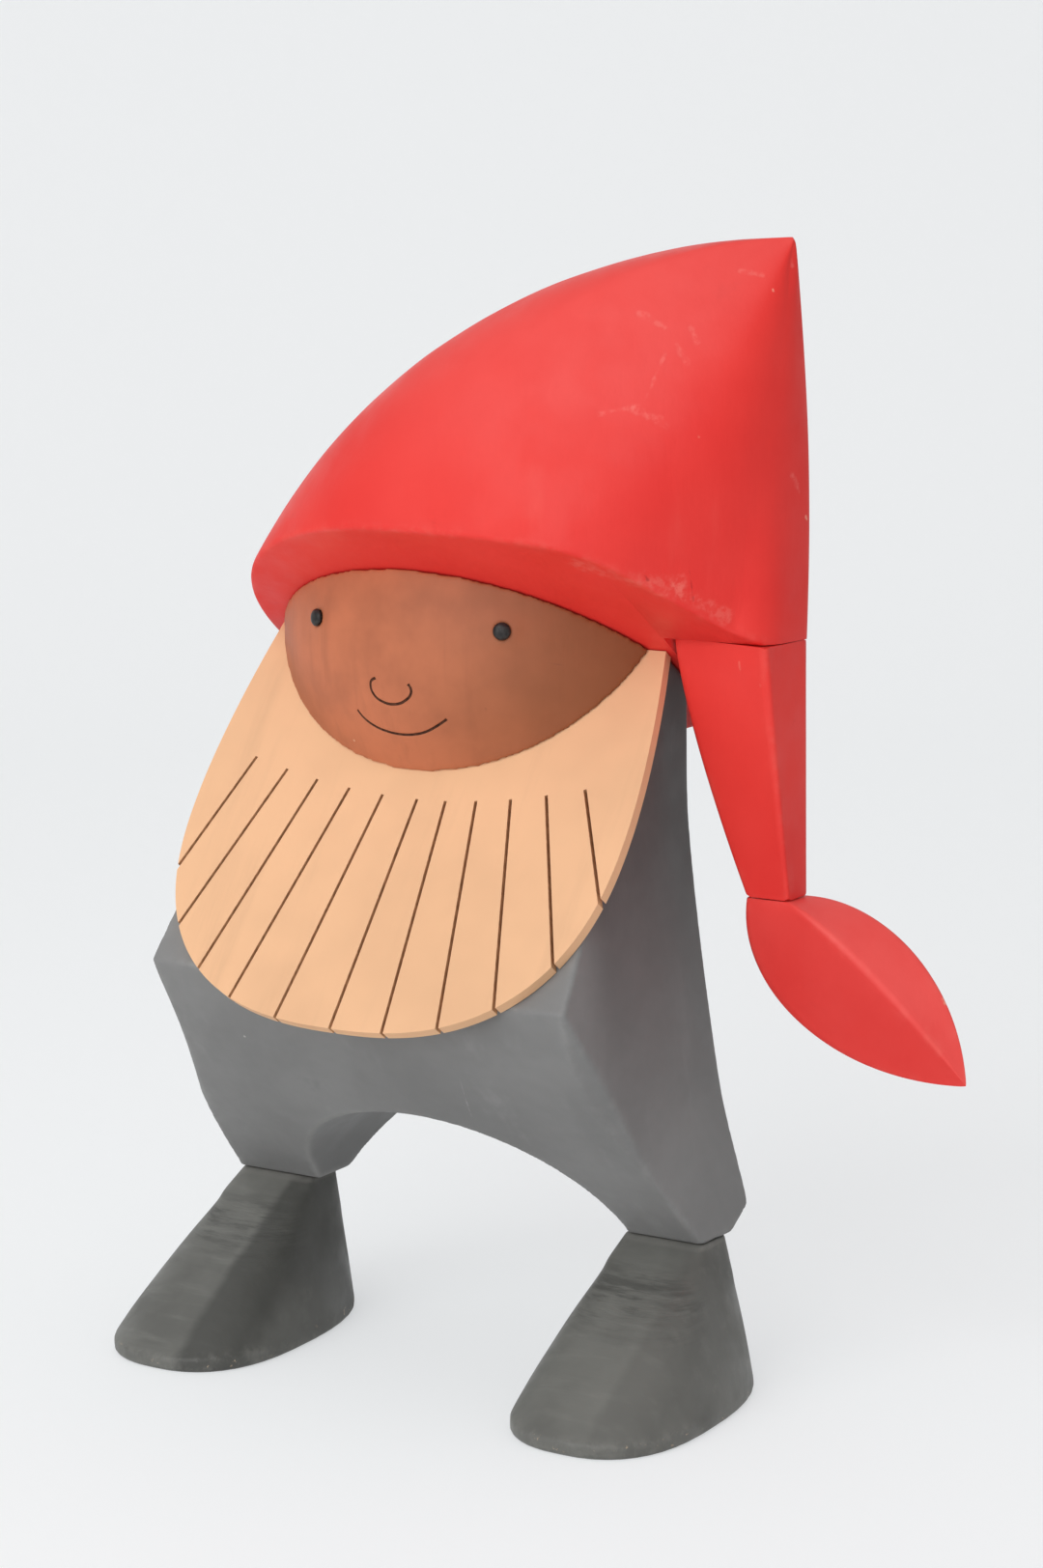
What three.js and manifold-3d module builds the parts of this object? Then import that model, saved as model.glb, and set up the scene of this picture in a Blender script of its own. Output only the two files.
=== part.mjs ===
// Carved nisse figure: a faceted body on two wedge shoes, with a sawn beard board and a domed head
// on its leaning front, and a pointed hat whose tail hangs down on the figure's left.
// Millimetres, +Z up. The front faces -Y and the figure's left is +X. While it is modelled,
// y = 0 is the flat of the back and z = 0 the floor.
import * as THREE from "three";
import { mergeVertices } from "three/addons/utils/BufferGeometryUtils.js";
import Module from "manifold-3d";

const wasm = await Module();
wasm.setup();
const radians = THREE.MathUtils.degToRad;

// Clearances.
const seam = 0.3; // between two glued faces
const fit = 0.15; // round a dowel or a peg, on the radius
const glueRoom = 1; // past each end of a dowel or a peg

// Body and legs.
const lean = 36.4; // degrees that the front slopes back from upright
const bellyY = -154.4; // the foremost edge, under the beard
const bellyZ = 179.2;
const bellySwell = 12; // how far the lower front swells past a straight line
const hemHeight = 66.4;
const hemHalfWidth = 121;
const hemFrontY = -73.2;
const hemDepth = 23;
const hemBevelRise = 0.6; // rise of the bevel behind the hem for each millimetre back
const waistHalfWidth = 96;
const flareTop = 250; // height where the sides start to spread
const flareEase = 1.3; // above 1 they spread slowly at first
const legWidth = 42;
const legSplay = 3; // at the hem the body is this much wider behind than in front, on each side
const archRise = 50;
const archShift = 4; // the arch was cut a little to the figure's left
const backChamfer = 44; // 45 degree cuts along the two rear corners
const hemChamfer = 36; // the same cuts at the hem
const hemChamferTop = 132; // above this height they have their full size
const arrisTrim = 0.8; // knife-softened front corners
const legTrim = 6; // widest part of the long lens-shaped trim on each leg
const legTrimFoot = 105;

// Shoes.
const soleHalfWidth = 39.7;
const soleOut = 2.7; // the sole sits this much further out than the ankle
const toeY = -162.5;
const ballY = -110; // where the sole is widest
const heelY = -34.8;
const soleRoundness = 2.5;
const soleEdge = 6; // upright edge round the sole
const soleInset = 1.5; // bevel under that edge
const hemReveal = 1.8; // the shoe top stands in from the hem
const instepFullness = 1.12; // above 1 the shoe swells out over a straight wedge
const ankleRoundness = 12; // nearly square

// Head, a slice of a large ball glued on the beard board; v runs up the slope from the belly edge.
const headX = -3.3;
const headV = 192.1;
const headSunk = 40; // the ball's centre lies this far behind the slope
const headRadius = 105.7;
const headHalfWidth = 108.3;
const eyeSpread = 28.3; // degrees to each side of the ball's middle
const eyeBelowBrim = 16.6; // down the slope from the hat's underside
const eyeRadius = 3.8;
const eyeDome = 2.1; // how far the dome stands up from its rim
const eyeStemRadius = 2.85;
const eyeStem = 9;

// Beard board.
const beardThickness = 5;
const beardHalfWidth = 106.9;
const beardV = 79.2; // height up the slope where it is widest
const beardDrop = 100.2; // from there down to its lowest point
const beardRoundness = 2.5;
const hornHalfWidth = 96.5; // half the width at the hat
const hornEase = 1.7; // above 1 the sides draw in slowly at first
const kerfWidth = 1.4;
const kerfTopV = 84.5; // top of the middle kerf
const kerfTopRise = 12; // the outermost kerfs start this much higher
// Kerfs sawn by eye: how far off the middle line each starts, and its angle in degrees.
const kerfs = [
  [-84, -19],
  [-66, -18.3],
  [-49, -14.7],
  [-31.5, -11.8],
  [-14, -7],
  [3.5, -1.2],
  [17.5, 4.8],
  [32, 10.7],
  [48, 15.7],
  [64, 22],
  [81, 26.3],
];

// Hat crown; m runs forward from the slope in the plane of the brim.
const brimV = 162.4; // the brim's flat underside crosses the slope here
const brimCentreM = -6.2;
const brimHalfWidth = 106.5;
const brimFront = 99.2;
const brimBack = 83.2;
const brimSide = new THREE.Vector2(152, -18.7); // outer edge, straight above the tail
const brimCorner = new THREE.Vector2(93, 87); // soft corner between the front and the flank
const brimCornerEase = 0.34; // share of each side taken up by that corner
const brimFlank = new THREE.Vector2(136, 24.3); // the straight flank runs to here
const brimTurn = new THREE.Vector2(148, 19.3); // and rounds this point
const brimTurnEnd = new THREE.Vector2(150, 5.3);
const upperFlank = new THREE.Vector2(122, 44.7); // a little above the brim the flank runs to here
const upperTurn = new THREE.Vector2(150, 3); // and rounds over evenly into the outer side
const upperTurnEnd = new THREE.Vector2(152, -9);
const turnFade = 0.15; // share of the height over which the brim's turn gives way to it
const brimBackPull = new THREE.Vector2(120, -30.7); // draws the back edge out toward the side
const crownTip = new THREE.Vector3(147.2, -46, 480.8);
const crownArcStart = 30; // degrees: 0 would leave the brim upright, more leans the crown in at once
const flankStart = 0; // between these two places the arc dies away into the flat flank
const flankEnd = 104;
const sideSwell = 4; // the outer side stands this much proud of a straight line, halfway up
const ridgeSwell = new THREE.Vector2(7, -11); // and the ridge between front and flank this much
const ridgeFrontM = 60; // only where the brim lies in front: in full from here forward

// Tail and tassel, each of four corner lines: front left, front right, back right, back left.
const tailTop = 319.2;
const tailNeck = 213;
const tailTopCorners = [
  [100.3, -63.8],
  [149.6, -74.8],
  [152, -42.8],
  [106, -42.8],
];
const tailNeckCorners = [
  [131.8, -58.8],
  [151.8, -58.8],
  [152, -42.8],
  [133, -42.8],
];
const tailEase = 1.35; // above 1 the tail narrows slowly at first
const tasselTip = new THREE.Vector3(228.5, -50.8, 143.8);
const tasselPull = [
  [new THREE.Vector3(122, -54, 172), new THREE.Vector3(165, -48, 135)],
  [new THREE.Vector3(172, -68, 208), new THREE.Vector3(206, -66, 180)],
  [new THREE.Vector3(184, -40, 215), new THREE.Vector3(224, -46, 190)],
  [new THREE.Vector3(150, -34, 196), new THREE.Vector3(196, -36, 168)],
];

// Dowels: diameter and length.
const hatDowel = { diameter: 12, length: 50, halfSpacing: 45 };
const headDowel = { diameter: 10, length: 40, halfSpacing: 30, v: 120 };
const shoeDowel = { diameter: 10, length: 36 };
const tailDowel = { diameter: 10, length: 36 };
const tasselDowel = { diameter: 6, length: 24 };

// The sloping front as a frame: its local Z runs up the slope and its local -Y faces out of it.
const slope = new THREE.Group();
slope.rotation.x = -radians(lean);
slope.position.set(0, bellyY, bellyZ);
slope.updateMatrix();
const onSlope = (x, m, v) => new THREE.Vector3(x, -m, v).applyMatrix4(slope.matrix);
const upSlope = new THREE.Vector3(0, 0, 1).applyQuaternion(slope.quaternion);
const outOfSlope = new THREE.Vector3(0, -1, 0).applyQuaternion(slope.quaternion);

// A closed three.js geometry as a solid that can be cut and joined.
function solidOf(geometry, matrix = new THREE.Matrix4()) {
  const bare = new THREE.BufferGeometry();
  bare.setAttribute("position", geometry.getAttribute("position").clone());
  bare.setIndex(geometry.index);
  const merged = mergeVertices(bare.applyMatrix4(matrix), 1e-3);
  return new wasm.Manifold(
    new wasm.Mesh({
      numProp: 3,
      vertProperties: merged.attributes.position.array,
      triVerts: new Uint32Array(merged.index.array),
    }),
  );
}

function geometryOf(solid) {
  const mesh = solid.getMesh();
  const geometry = new THREE.BufferGeometry();
  geometry.setAttribute("position", new THREE.BufferAttribute(mesh.vertProperties, 3));
  geometry.setIndex(new THREE.BufferAttribute(mesh.triVerts, 1));
  const faceted = geometry.toNonIndexed();
  faceted.computeVertexNormals();
  return faceted;
}

// A closed skin over rings of points, lowest ring first, each anticlockwise seen from above.
// Each end is closed by a fan round its own middle, or round the tip that is given.
function loft(rings, lowTip = null, highTip = null) {
  const middle = (ring) =>
    ring.reduce((sum, p) => sum.add(p), new THREE.Vector3()).divideScalar(ring.length);
  const count = rings[0].length;
  const low = rings.length * count;
  const top = (rings.length - 1) * count;
  const points = [...rings.flat(), lowTip ?? middle(rings[0]), highTip ?? middle(rings.at(-1))];
  const faces = [];
  for (let i = 0; i < count; i++) {
    const next = (i + 1) % count;
    for (let r = 0; r < top; r += count) {
      faces.push(r + i, r + next, r + next + count);
      faces.push(r + i, r + next + count, r + i + count);
    }
    faces.push(next, i, low);
    faces.push(top + i, top + next, low + 1);
  }
  const geometry = new THREE.BufferGeometry().setFromPoints(points);
  geometry.setIndex(faces);
  return geometry;
}

// A box given by its two opposite corners.
function boxBetween(low, high, matrix) {
  const size = new THREE.Vector3().subVectors(high, low);
  const box = new THREE.BoxGeometry(size.x, size.y, size.z);
  const centre = new THREE.Vector3().addVectors(low, high).multiplyScalar(0.5);
  box.translate(centre.x, centre.y, centre.z);
  return solidOf(box, matrix);
}

// A point on a rounded outline between an ellipse (roundness 2) and its box (large roundness).
function roundedPoint(angle, halfX, halfY, roundness) {
  const swell = (c) => Math.sign(c) * Math.abs(c) ** (2 / roundness);
  return new THREE.Vector2(halfX * swell(Math.cos(angle)), halfY * swell(Math.sin(angle)));
}

const far = 1000; // longer than the figure, for cuts that run right through

// Dowels and pegs are turned along +Y and then pointed the way that they run.
function placed(geometry, middle, direction) {
  const mesh = new THREE.Mesh(geometry);
  mesh.position.copy(middle);
  mesh.quaternion.setFromUnitVectors(new THREE.Vector3(0, 1, 0), direction.clone().normalize());
  mesh.updateMatrix();
  return mesh;
}

function makeDowel(name, size, middle, direction) {
  const pin = new THREE.CylinderGeometry(size.diameter / 2, size.diameter / 2, size.length, 24);
  const bore = size.diameter / 2 + fit;
  const room = new THREE.CylinderGeometry(bore, bore, size.length + 2 * glueRoom, 24);
  const mesh = placed(pin, middle, direction);
  mesh.name = name;
  return { mesh, hole: solidOf(room, mesh.matrix) };
}

const brimM = (y) => (bellyY + Math.sin(radians(lean)) * brimV - y) / Math.cos(radians(lean));
const hatDowelM = brimM(0) / 2;
const stanceX = hemHalfWidth - legWidth / 2;
const ankleY = hemFrontY + hemDepth / 2;
const cornerMiddle = (corners, z) =>
  new THREE.Vector3(
    corners.reduce((sum, c) => sum + c[0], 0) / corners.length,
    corners.reduce((sum, c) => sum + c[1], 0) / corners.length,
    z,
  );

const sides = { left: 1, right: -1 };
const dowels = {};
for (const [side, sign] of Object.entries(sides)) {
  const hatSeat = onSlope(sign * hatDowel.halfSpacing, hatDowelM, brimV);
  const headSeat = onSlope(sign * headDowel.halfSpacing, 0, headDowel.v);
  const ankle = new THREE.Vector3(sign * stanceX, ankleY, hemHeight);
  dowels[`hat_${side}`] = makeDowel(`hat_dowel_${side}`, hatDowel, hatSeat, upSlope);
  dowels[`head_${side}`] = makeDowel(`head_dowel_${side}`, headDowel, headSeat, outOfSlope);
  dowels[`shoe_${side}`] = makeDowel(`shoe_dowel_${side}`, shoeDowel, ankle, new THREE.Vector3(0, 0, 1));
}
const tailSeat = cornerMiddle(tailTopCorners, tailTop);
const neckSeat = cornerMiddle(tailNeckCorners, tailNeck);
dowels.tail = makeDowel("tail_dowel", tailDowel, tailSeat, new THREE.Vector3(0, 0, 1));
dowels.tassel = makeDowel("tassel_dowel", tasselDowel, neckSeat, new THREE.Vector3(0, 0, 1));

// The head dowels run right through the board, which is modelled in the slope's own frame.
function boardHole(side) {
  const bore = headDowel.diameter / 2 + fit;
  const room = new THREE.CylinderGeometry(bore, bore, headDowel.length, 24);
  return solidOf(room.translate(sides[side] * headDowel.halfSpacing, 0, headDowel.v));
}

const bored = (solid, ...names) =>
  names.reduce((left, name) => left.subtract(dowels[name].hole), solid);

// Body: level sections from hem to hat, cut by the slope, the brim, the arch and the hem bevel.
function makeBody() {
  const lowerFront = new THREE.QuadraticBezierCurve(
    new THREE.Vector2(hemFrontY, hemHeight),
    new THREE.Vector2((hemFrontY + bellyY) / 2 - 2 * bellySwell, (hemHeight + bellyZ) / 2 + bellySwell),
    new THREE.Vector2(bellyY, bellyZ),
  );
  const flare = (z) => THREE.MathUtils.clamp((flareTop - z) / (flareTop - hemHeight), 0, 1) ** flareEase;
  const section = (frontY, z) => {
    const half = waistHalfWidth + (hemHalfWidth - waistHalfWidth) * flare(z);
    const splay = (legSplay / 2) * flare(z);
    const along = THREE.MathUtils.clamp((z - legTrimFoot) / (bellyZ - legTrimFoot), 0, 1);
    const trim = arrisTrim + legTrim * Math.sin(Math.PI * along);
    const eased = THREE.MathUtils.smoothstep(z, hemHeight, hemChamferTop);
    const rear = -THREE.MathUtils.lerp(hemChamfer, backChamfer, eased);
    const outline = [
      [half - splay - trim, frontY],
      [half - splay, frontY + trim],
      [half + splay, rear],
      [half + splay + rear, 0],
    ];
    const mirrored = outline.map(([x, y]) => [-x, y]).reverse();
    return [...outline, ...mirrored].map(([x, y]) => new THREE.Vector3(x, y, z));
  };
  const topZ = onSlope(0, 0, brimV).z;
  const lowerRings = lowerFront.getPoints(9).map((p) => section(p.x, p.y));
  const upperRings = Array.from({ length: 8 }, (_, i) =>
    section(bellyY, THREE.MathUtils.lerp(bellyZ, topZ, (i + 1) / 8)),
  );
  let body = solidOf(loft([...lowerRings, ...upperRings]));

  const inFront = new THREE.Vector3(far, 0, far);
  body = body.subtract(boxBetween(new THREE.Vector3(-far, -far, 0), inFront, slope.matrix));
  const underBrim = new THREE.Vector3(-far, -far, brimV - seam);
  body = body.subtract(boxBetween(underBrim, new THREE.Vector3(far, far, far), slope.matrix));

  const archHalf = hemHalfWidth - legWidth;
  const archPoints = Array.from({ length: 33 }, (_, i) =>
    roundedPoint((Math.PI * i) / 32, archHalf, archRise, 2),
  );
  archPoints.push(new THREE.Vector2(-archHalf, -hemHeight), new THREE.Vector2(archHalf, -hemHeight));
  const arch = new THREE.ExtrudeGeometry(new THREE.Shape(archPoints), {
    depth: 2 * far,
    bevelEnabled: false,
  });
  const upright = new THREE.Matrix4().makeRotationX(Math.PI / 2).setPosition(archShift, far, hemHeight);
  body = body.subtract(solidOf(arch, upright));

  const bevelFoot = hemFrontY + hemDepth;
  const bevel = new THREE.ExtrudeGeometry(
    new THREE.Shape([
      new THREE.Vector2(bevelFoot, 0),
      new THREE.Vector2(bevelFoot + far, 0),
      new THREE.Vector2(bevelFoot + far, far * hemBevelRise),
    ]),
    { depth: 2 * far, bevelEnabled: false },
  );
  const sideways = new THREE.Matrix4().makeBasis(
    new THREE.Vector3(0, 1, 0),
    new THREE.Vector3(0, 0, 1),
    new THREE.Vector3(1, 0, 0),
  );
  body = body.subtract(solidOf(bevel, sideways.setPosition(-far, 0, hemHeight)));
  return bored(body, "hat_left", "hat_right", "head_left", "head_right", "shoe_left", "shoe_right");
}

// Shoe: the rounded sole is drawn up in straight facets to the small oblong under the hem.
function makeShoe(side) {
  const points = 40;
  const centreX = sides[side] * stanceX;
  const ring = (share, inset, z) =>
    Array.from({ length: points }, (_, i) => {
      const angle = (2 * Math.PI * i) / points;
      const length = Math.sin(angle) > 0 ? heelY - ballY : ballY - toeY;
      const sole = roundedPoint(angle, soleHalfWidth - inset, length - inset, soleRoundness);
      const ankleHalfX = legWidth / 2 - hemReveal;
      const ankle = roundedPoint(angle, ankleHalfX, hemDepth / 2 - hemReveal, ankleRoundness);
      return new THREE.Vector3(
        centreX + THREE.MathUtils.lerp(sole.x + sides[side] * soleOut, ankle.x, share),
        THREE.MathUtils.lerp(ballY + sole.y, ankleY + ankle.y, share),
        z,
      );
    });
  const rings = [ring(0, soleInset, 0), ring(0, 0, soleInset)];
  for (let i = 0; i <= 8; i++) {
    const climb = i / 8;
    const z = THREE.MathUtils.lerp(soleEdge, hemHeight - seam, climb);
    rings.push(ring(climb ** instepFullness, 0, z));
  }
  return bored(solidOf(loft(rings)), `shoe_${side}`);
}

// Head: the slice of a ball that stands out of the beard board under the brim.
function makeHead(eyeHoles) {
  const ball = new THREE.SphereGeometry(headRadius, 56, 32);
  ball.scale(headHalfWidth / headRadius, 1, 1);
  ball.translate(headX, headSunk, headV);
  const low = new THREE.Vector3(-far, -far, -far);
  const high = new THREE.Vector3(far, -2 * seam - beardThickness, brimV - seam);
  const head = solidOf(ball, slope.matrix).intersect(boxBetween(low, high, slope.matrix));
  const drilled = eyeHoles.reduce((left, hole) => left.subtract(hole), head);
  return bored(drilled, "head_left", "head_right");
}

// Eye: a domed peg whose stem goes into the face, square to the ball.
function makeEye(side) {
  const across = sides[side] * radians(eyeSpread);
  const down = Math.asin((headV - brimV + eyeBelowBrim) / headRadius);
  const toward = new THREE.Vector3(
    Math.sin(across) * Math.cos(down),
    -Math.cos(across) * Math.cos(down),
    -Math.sin(down),
  );
  const reach = new THREE.Vector3(headHalfWidth, headRadius, headRadius);
  const seat = toward.clone().multiply(reach).add(new THREE.Vector3(headX, headSunk, headV));
  seat.applyMatrix4(slope.matrix);
  const square = toward.clone().divide(reach).applyQuaternion(slope.quaternion).normalize();
  const rim = seam + (eyeRadius * eyeRadius) / (2 * headRadius);
  const dome = Array.from({ length: 7 }, (_, i) => {
    const angle = (Math.PI / 2) * (i / 6);
    return new THREE.Vector2(eyeRadius * Math.cos(angle), rim + eyeDome * Math.sin(angle));
  });
  const stem = [new THREE.Vector2(0, -eyeStem), new THREE.Vector2(eyeStemRadius, -eyeStem)];
  const neck = new THREE.Vector2(eyeStemRadius, rim - seam / 2);
  const profile = [...stem, neck, new THREE.Vector2(eyeRadius, rim - seam / 2), ...dome];
  profile.at(-1).x = 0;
  const mesh = placed(new THREE.LatheGeometry(profile, 24), seat, square);
  mesh.name = `eye_peg_${side}`;
  const boreRadius = eyeStemRadius + fit;
  const bore = new THREE.CylinderGeometry(boreRadius, boreRadius, 2 * eyeStem + glueRoom, 24);
  bore.translate(0, -glueRoom / 2, 0);
  return { mesh, hole: solidOf(bore, mesh.matrix) };
}

// Beard: a flat board with a fan of saw kerfs that run out through its lower edge.
function makeBeard() {
  const top = brimV - seam;
  const shape = new THREE.Shape();
  const lower = Array.from({ length: 49 }, (_, i) =>
    roundedPoint(-Math.PI + (Math.PI * i) / 48, beardHalfWidth, beardDrop, beardRoundness),
  ).map((p) => new THREE.Vector2(p.x, beardV + p.y));
  const side = Array.from({ length: 6 }, (_, i) => {
    const climb = (i + 1) / 6;
    const x = beardHalfWidth - (beardHalfWidth - hornHalfWidth) * climb ** hornEase;
    return new THREE.Vector2(x, THREE.MathUtils.lerp(beardV, top, climb));
  });
  const otherSide = side.map((p) => new THREE.Vector2(-p.x, p.y)).reverse();
  shape.setFromPoints([...otherSide, ...lower, ...side]);
  const outline = new THREE.ExtrudeGeometry(shape, { depth: beardThickness, bevelEnabled: false });
  const standing = new THREE.Matrix4().makeRotationX(Math.PI / 2).setPosition(0, -seam, 0);
  let board = solidOf(outline, standing);

  const middleKerf = (kerfs.length - 1) / 2;
  kerfs.forEach(([start, angle], i) => {
    const top = kerfTopV + kerfTopRise * ((i - middleKerf) / middleKerf) ** 2;
    const kerf = new THREE.BoxGeometry(kerfWidth, far, far).translate(0, 0, -far / 2);
    const turned = new THREE.Matrix4().makeRotationY(-radians(angle));
    board = board.subtract(solidOf(kerf, turned.setPosition(start, 0, top)));
  });
  for (const side of Object.keys(sides)) {
    board = board.subtract(boardHole(side));
  }
  return board;
}

// Outline in the plane of the underside, anticlockwise from above, starting at the outer edge; the
// flank runs to one point, rounds a second and ends at a third.
function crownOutline(flankPoint, turn, turnEnd) {
  const backM = brimCentreM - brimBack;
  const frontM = brimCentreM + brimFront;
  const back = new THREE.CubicBezierCurve(
    brimSide,
    brimBackPull,
    new THREE.Vector2(brimHalfWidth * 0.6, backM),
    new THREE.Vector2(0, backM),
  );
  const farSide = Array.from({ length: 24 }, (_, i) => {
    const angle = -Math.PI / 2 - (Math.PI * i) / 24;
    const depth = Math.sin(angle) < 0 ? brimBack : brimFront;
    return new THREE.Vector2(brimHalfWidth * Math.cos(angle), brimCentreM + depth * Math.sin(angle));
  });
  const middle = new THREE.Vector2(0, frontM);
  const beforeCorner = middle.clone().lerp(brimCorner, 1 - brimCornerEase);
  const afterCorner = brimCorner.clone().lerp(brimFlank, brimCornerEase);
  const front = new THREE.Path();
  front.moveTo(middle.x, middle.y);
  front.quadraticCurveTo(brimCorner.x * 0.4, frontM, beforeCorner.x, beforeCorner.y);
  front.quadraticCurveTo(brimCorner.x, brimCorner.y, afterCorner.x, afterCorner.y);
  front.lineTo(flankPoint.x, flankPoint.y);
  front.quadraticCurveTo(turn.x, turn.y, turnEnd.x, turnEnd.y);
  return [...back.getPoints(10).slice(0, -1), ...farSide, ...front.getPoints(7)];
}

// How high the crown has risen where its section is drawn in to this share of the brim: along an
// arc where the bulge is 1, along a straight line where it is 0.
function crownHeight(share, bulge) {
  const start = radians(crownArcStart);
  const arc = (Math.sqrt(1 - (share * Math.cos(start)) ** 2) - Math.sin(start)) / (1 - Math.sin(start));
  return THREE.MathUtils.lerp(1 - share, arc, bulge);
}

// Crown: each section is the brim drawn in toward the upright outer edge, and all meet in the tip.
function makeCrown() {
  const brim = crownOutline(brimFlank, brimTurn, brimTurnEnd);
  const upper = crownOutline(upperFlank, upperTurn, upperTurnEnd);
  const edge = onSlope(brimSide.x, brimSide.y, brimV);
  const levels = 18;
  const rings = Array.from({ length: levels }, (_, i) => {
    const width = Math.cos((Math.PI / 2) * (i / levels));
    return brim.map((corner, k) => {
      const flank = THREE.MathUtils.smoothstep(corner.x, flankStart, flankEnd);
      const ridge = flank * THREE.MathUtils.smoothstep(corner.y, 0, ridgeFrontM);
      const height = crownHeight(width, 1 - flank);
      const swell = Math.sin(Math.PI * height);
      const turned = corner.clone().lerp(upper[k], THREE.MathUtils.smoothstep(height, 0, turnFade));
      const p = onSlope(turned.x, turned.y, brimV);
      const point = edge.clone().lerp(crownTip, height);
      point.x += (p.x - edge.x) * width + (sideSwell * flank + ridgeSwell.x * ridge) * swell;
      point.y += (p.y - edge.y) * width + ridgeSwell.y * ridge * swell;
      point.z = THREE.MathUtils.lerp(p.z, crownTip.z, height);
      return point;
    });
  });
  const crown = solidOf(loft(rings, null, crownTip));
  const shelf = boxBetween(
    new THREE.Vector3(tailTopCorners[0][0] - seam, -far, -far),
    new THREE.Vector3(far, far, tailTop + seam),
  );
  return bored(crown.subtract(shelf), "hat_left", "hat_right", "tail");
}

// Tail: four corner lines from the shelf in the crown down to the thin neck.
function makeTail() {
  const levels = 10;
  const rings = Array.from({ length: levels + 1 }, (_, i) => {
    const up = i / levels;
    const narrowed = (1 - up) ** tailEase;
    const z = THREE.MathUtils.lerp(tailNeck + seam / 2, tailTop, up);
    return tailTopCorners.map(([x, y], corner) => {
      const [neckX, neckY] = tailNeckCorners[corner];
      const at = new THREE.Vector3(THREE.MathUtils.lerp(x, neckX, narrowed), 0, z);
      at.y = THREE.MathUtils.lerp(y, neckY, 1 - up);
      return at;
    });
  });
  return bored(solidOf(loft(rings)), "tail", "tassel");
}

// Tassel: the tail's four corner lines go on, swell apart into a leaf and meet in its tip.
function makeTassel() {
  const lines = tailNeckCorners.map(([x, y], corner) => {
    const start = new THREE.Vector3(x, y, tailNeck - seam / 2);
    return new THREE.CubicBezierCurve3(start, ...tasselPull[corner], tasselTip);
  });
  const levels = 20;
  const rings = Array.from({ length: levels }, (_, i) =>
    lines.map((line) => line.getPoint(1 - (i + 0.4) / (levels - 0.6))),
  );
  return bored(solidOf(loft(rings, tasselTip)), "tassel");
}

const paint = (color, roughness) => new THREE.MeshStandardMaterial({ color, roughness, metalness: 0 });
const greyPaint = paint(0x6e6f70, 0.7);
const darkPaint = paint(0x4b4d48, 0.65);
const redPaint = paint(0xd93a38, 0.55);
const faceStain = paint(0xc47452, 0.6);
const paleWood = paint(0xf0c49a, 0.7);
const eyePaint = paint(0x1c1b1a, 0.35);
const dowelWood = paint(0xd8b98c, 0.8);

const figure = new THREE.Group();
function add(name, solid, material, parent = figure) {
  const mesh = new THREE.Mesh(geometryOf(solid), material);
  mesh.name = name;
  parent.add(mesh);
}

const eyes = Object.keys(sides).map(makeEye);
add("body", makeBody(), greyPaint);
add("shoe_left", makeShoe("left"), darkPaint);
add("shoe_right", makeShoe("right"), darkPaint);
add("head", makeHead(eyes.map((eye) => eye.hole)), faceStain);
add("beard_board", makeBeard(), paleWood, slope);
add("hat_crown", makeCrown(), redPaint);
add("hat_tail", makeTail(), redPaint);
add("hat_tassel", makeTassel(), redPaint);
for (const { mesh } of eyes) {
  mesh.material = eyePaint;
  figure.add(mesh);
}
for (const { mesh } of Object.values(dowels)) {
  mesh.material = dowelWood;
  figure.add(mesh);
}
figure.add(slope);

// The finished part stands with the middle of its footprint box over the origin.
const extent = new THREE.Box3().setFromObject(figure, true);
const centre = extent.getCenter(new THREE.Vector3());
figure.position.set(-centre.x, -centre.y, -extent.min.z);

const part = new THREE.Group();
part.add(figure);

export default part;
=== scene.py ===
import math

import bmesh
import bpy
import numpy as np
from mathutils import Matrix, Vector, noise
from mathutils.bvhtree import BVHTree
from mathutils.kdtree import KDTree


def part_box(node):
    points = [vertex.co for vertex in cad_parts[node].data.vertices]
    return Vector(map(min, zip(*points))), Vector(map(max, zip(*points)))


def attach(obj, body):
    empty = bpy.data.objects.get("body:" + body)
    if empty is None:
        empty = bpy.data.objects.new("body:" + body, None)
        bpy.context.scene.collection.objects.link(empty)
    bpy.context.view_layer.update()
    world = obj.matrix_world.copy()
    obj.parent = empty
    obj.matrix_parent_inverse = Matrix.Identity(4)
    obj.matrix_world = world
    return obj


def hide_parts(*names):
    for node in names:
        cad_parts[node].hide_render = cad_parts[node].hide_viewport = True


bl_info = {
    "name": "Carved Nisse Figure",
    "version": (1, 0, 0),
    "blender": (4, 5, 0),
    "location": "View3D > Sidebar > Nisse",
    "description": "Dresses the packed nisse figure with carved surfaces, worn paint and bare wood",
    "category": "Object",
}

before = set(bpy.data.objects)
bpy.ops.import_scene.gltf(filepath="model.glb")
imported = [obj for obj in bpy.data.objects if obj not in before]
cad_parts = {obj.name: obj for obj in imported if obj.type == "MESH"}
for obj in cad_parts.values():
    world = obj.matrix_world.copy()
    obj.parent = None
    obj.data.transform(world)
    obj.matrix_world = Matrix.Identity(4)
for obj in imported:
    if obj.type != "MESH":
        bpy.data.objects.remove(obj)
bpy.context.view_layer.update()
MM = 0.001

# The leaning front as a frame: across, up the slope and straight out of it.
LEAN = math.radians(36.4)
SLOPE_FOOT = Vector((-43.05, -75.8, 179.2)) * MM
ACROSS = Vector((1, 0, 0))
UP_SLOPE = Vector((0, math.sin(LEAN), math.cos(LEAN)))
OUT_OF_SLOPE = Vector((0, -math.cos(LEAN), math.sin(LEAN)))


# Settings that a user would change


def number_setting(name, about, default, low, high, unit="LENGTH"):
    return bpy.props.FloatProperty(
        name=name, description=about, default=default, min=low, max=high, unit=unit
    )


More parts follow.
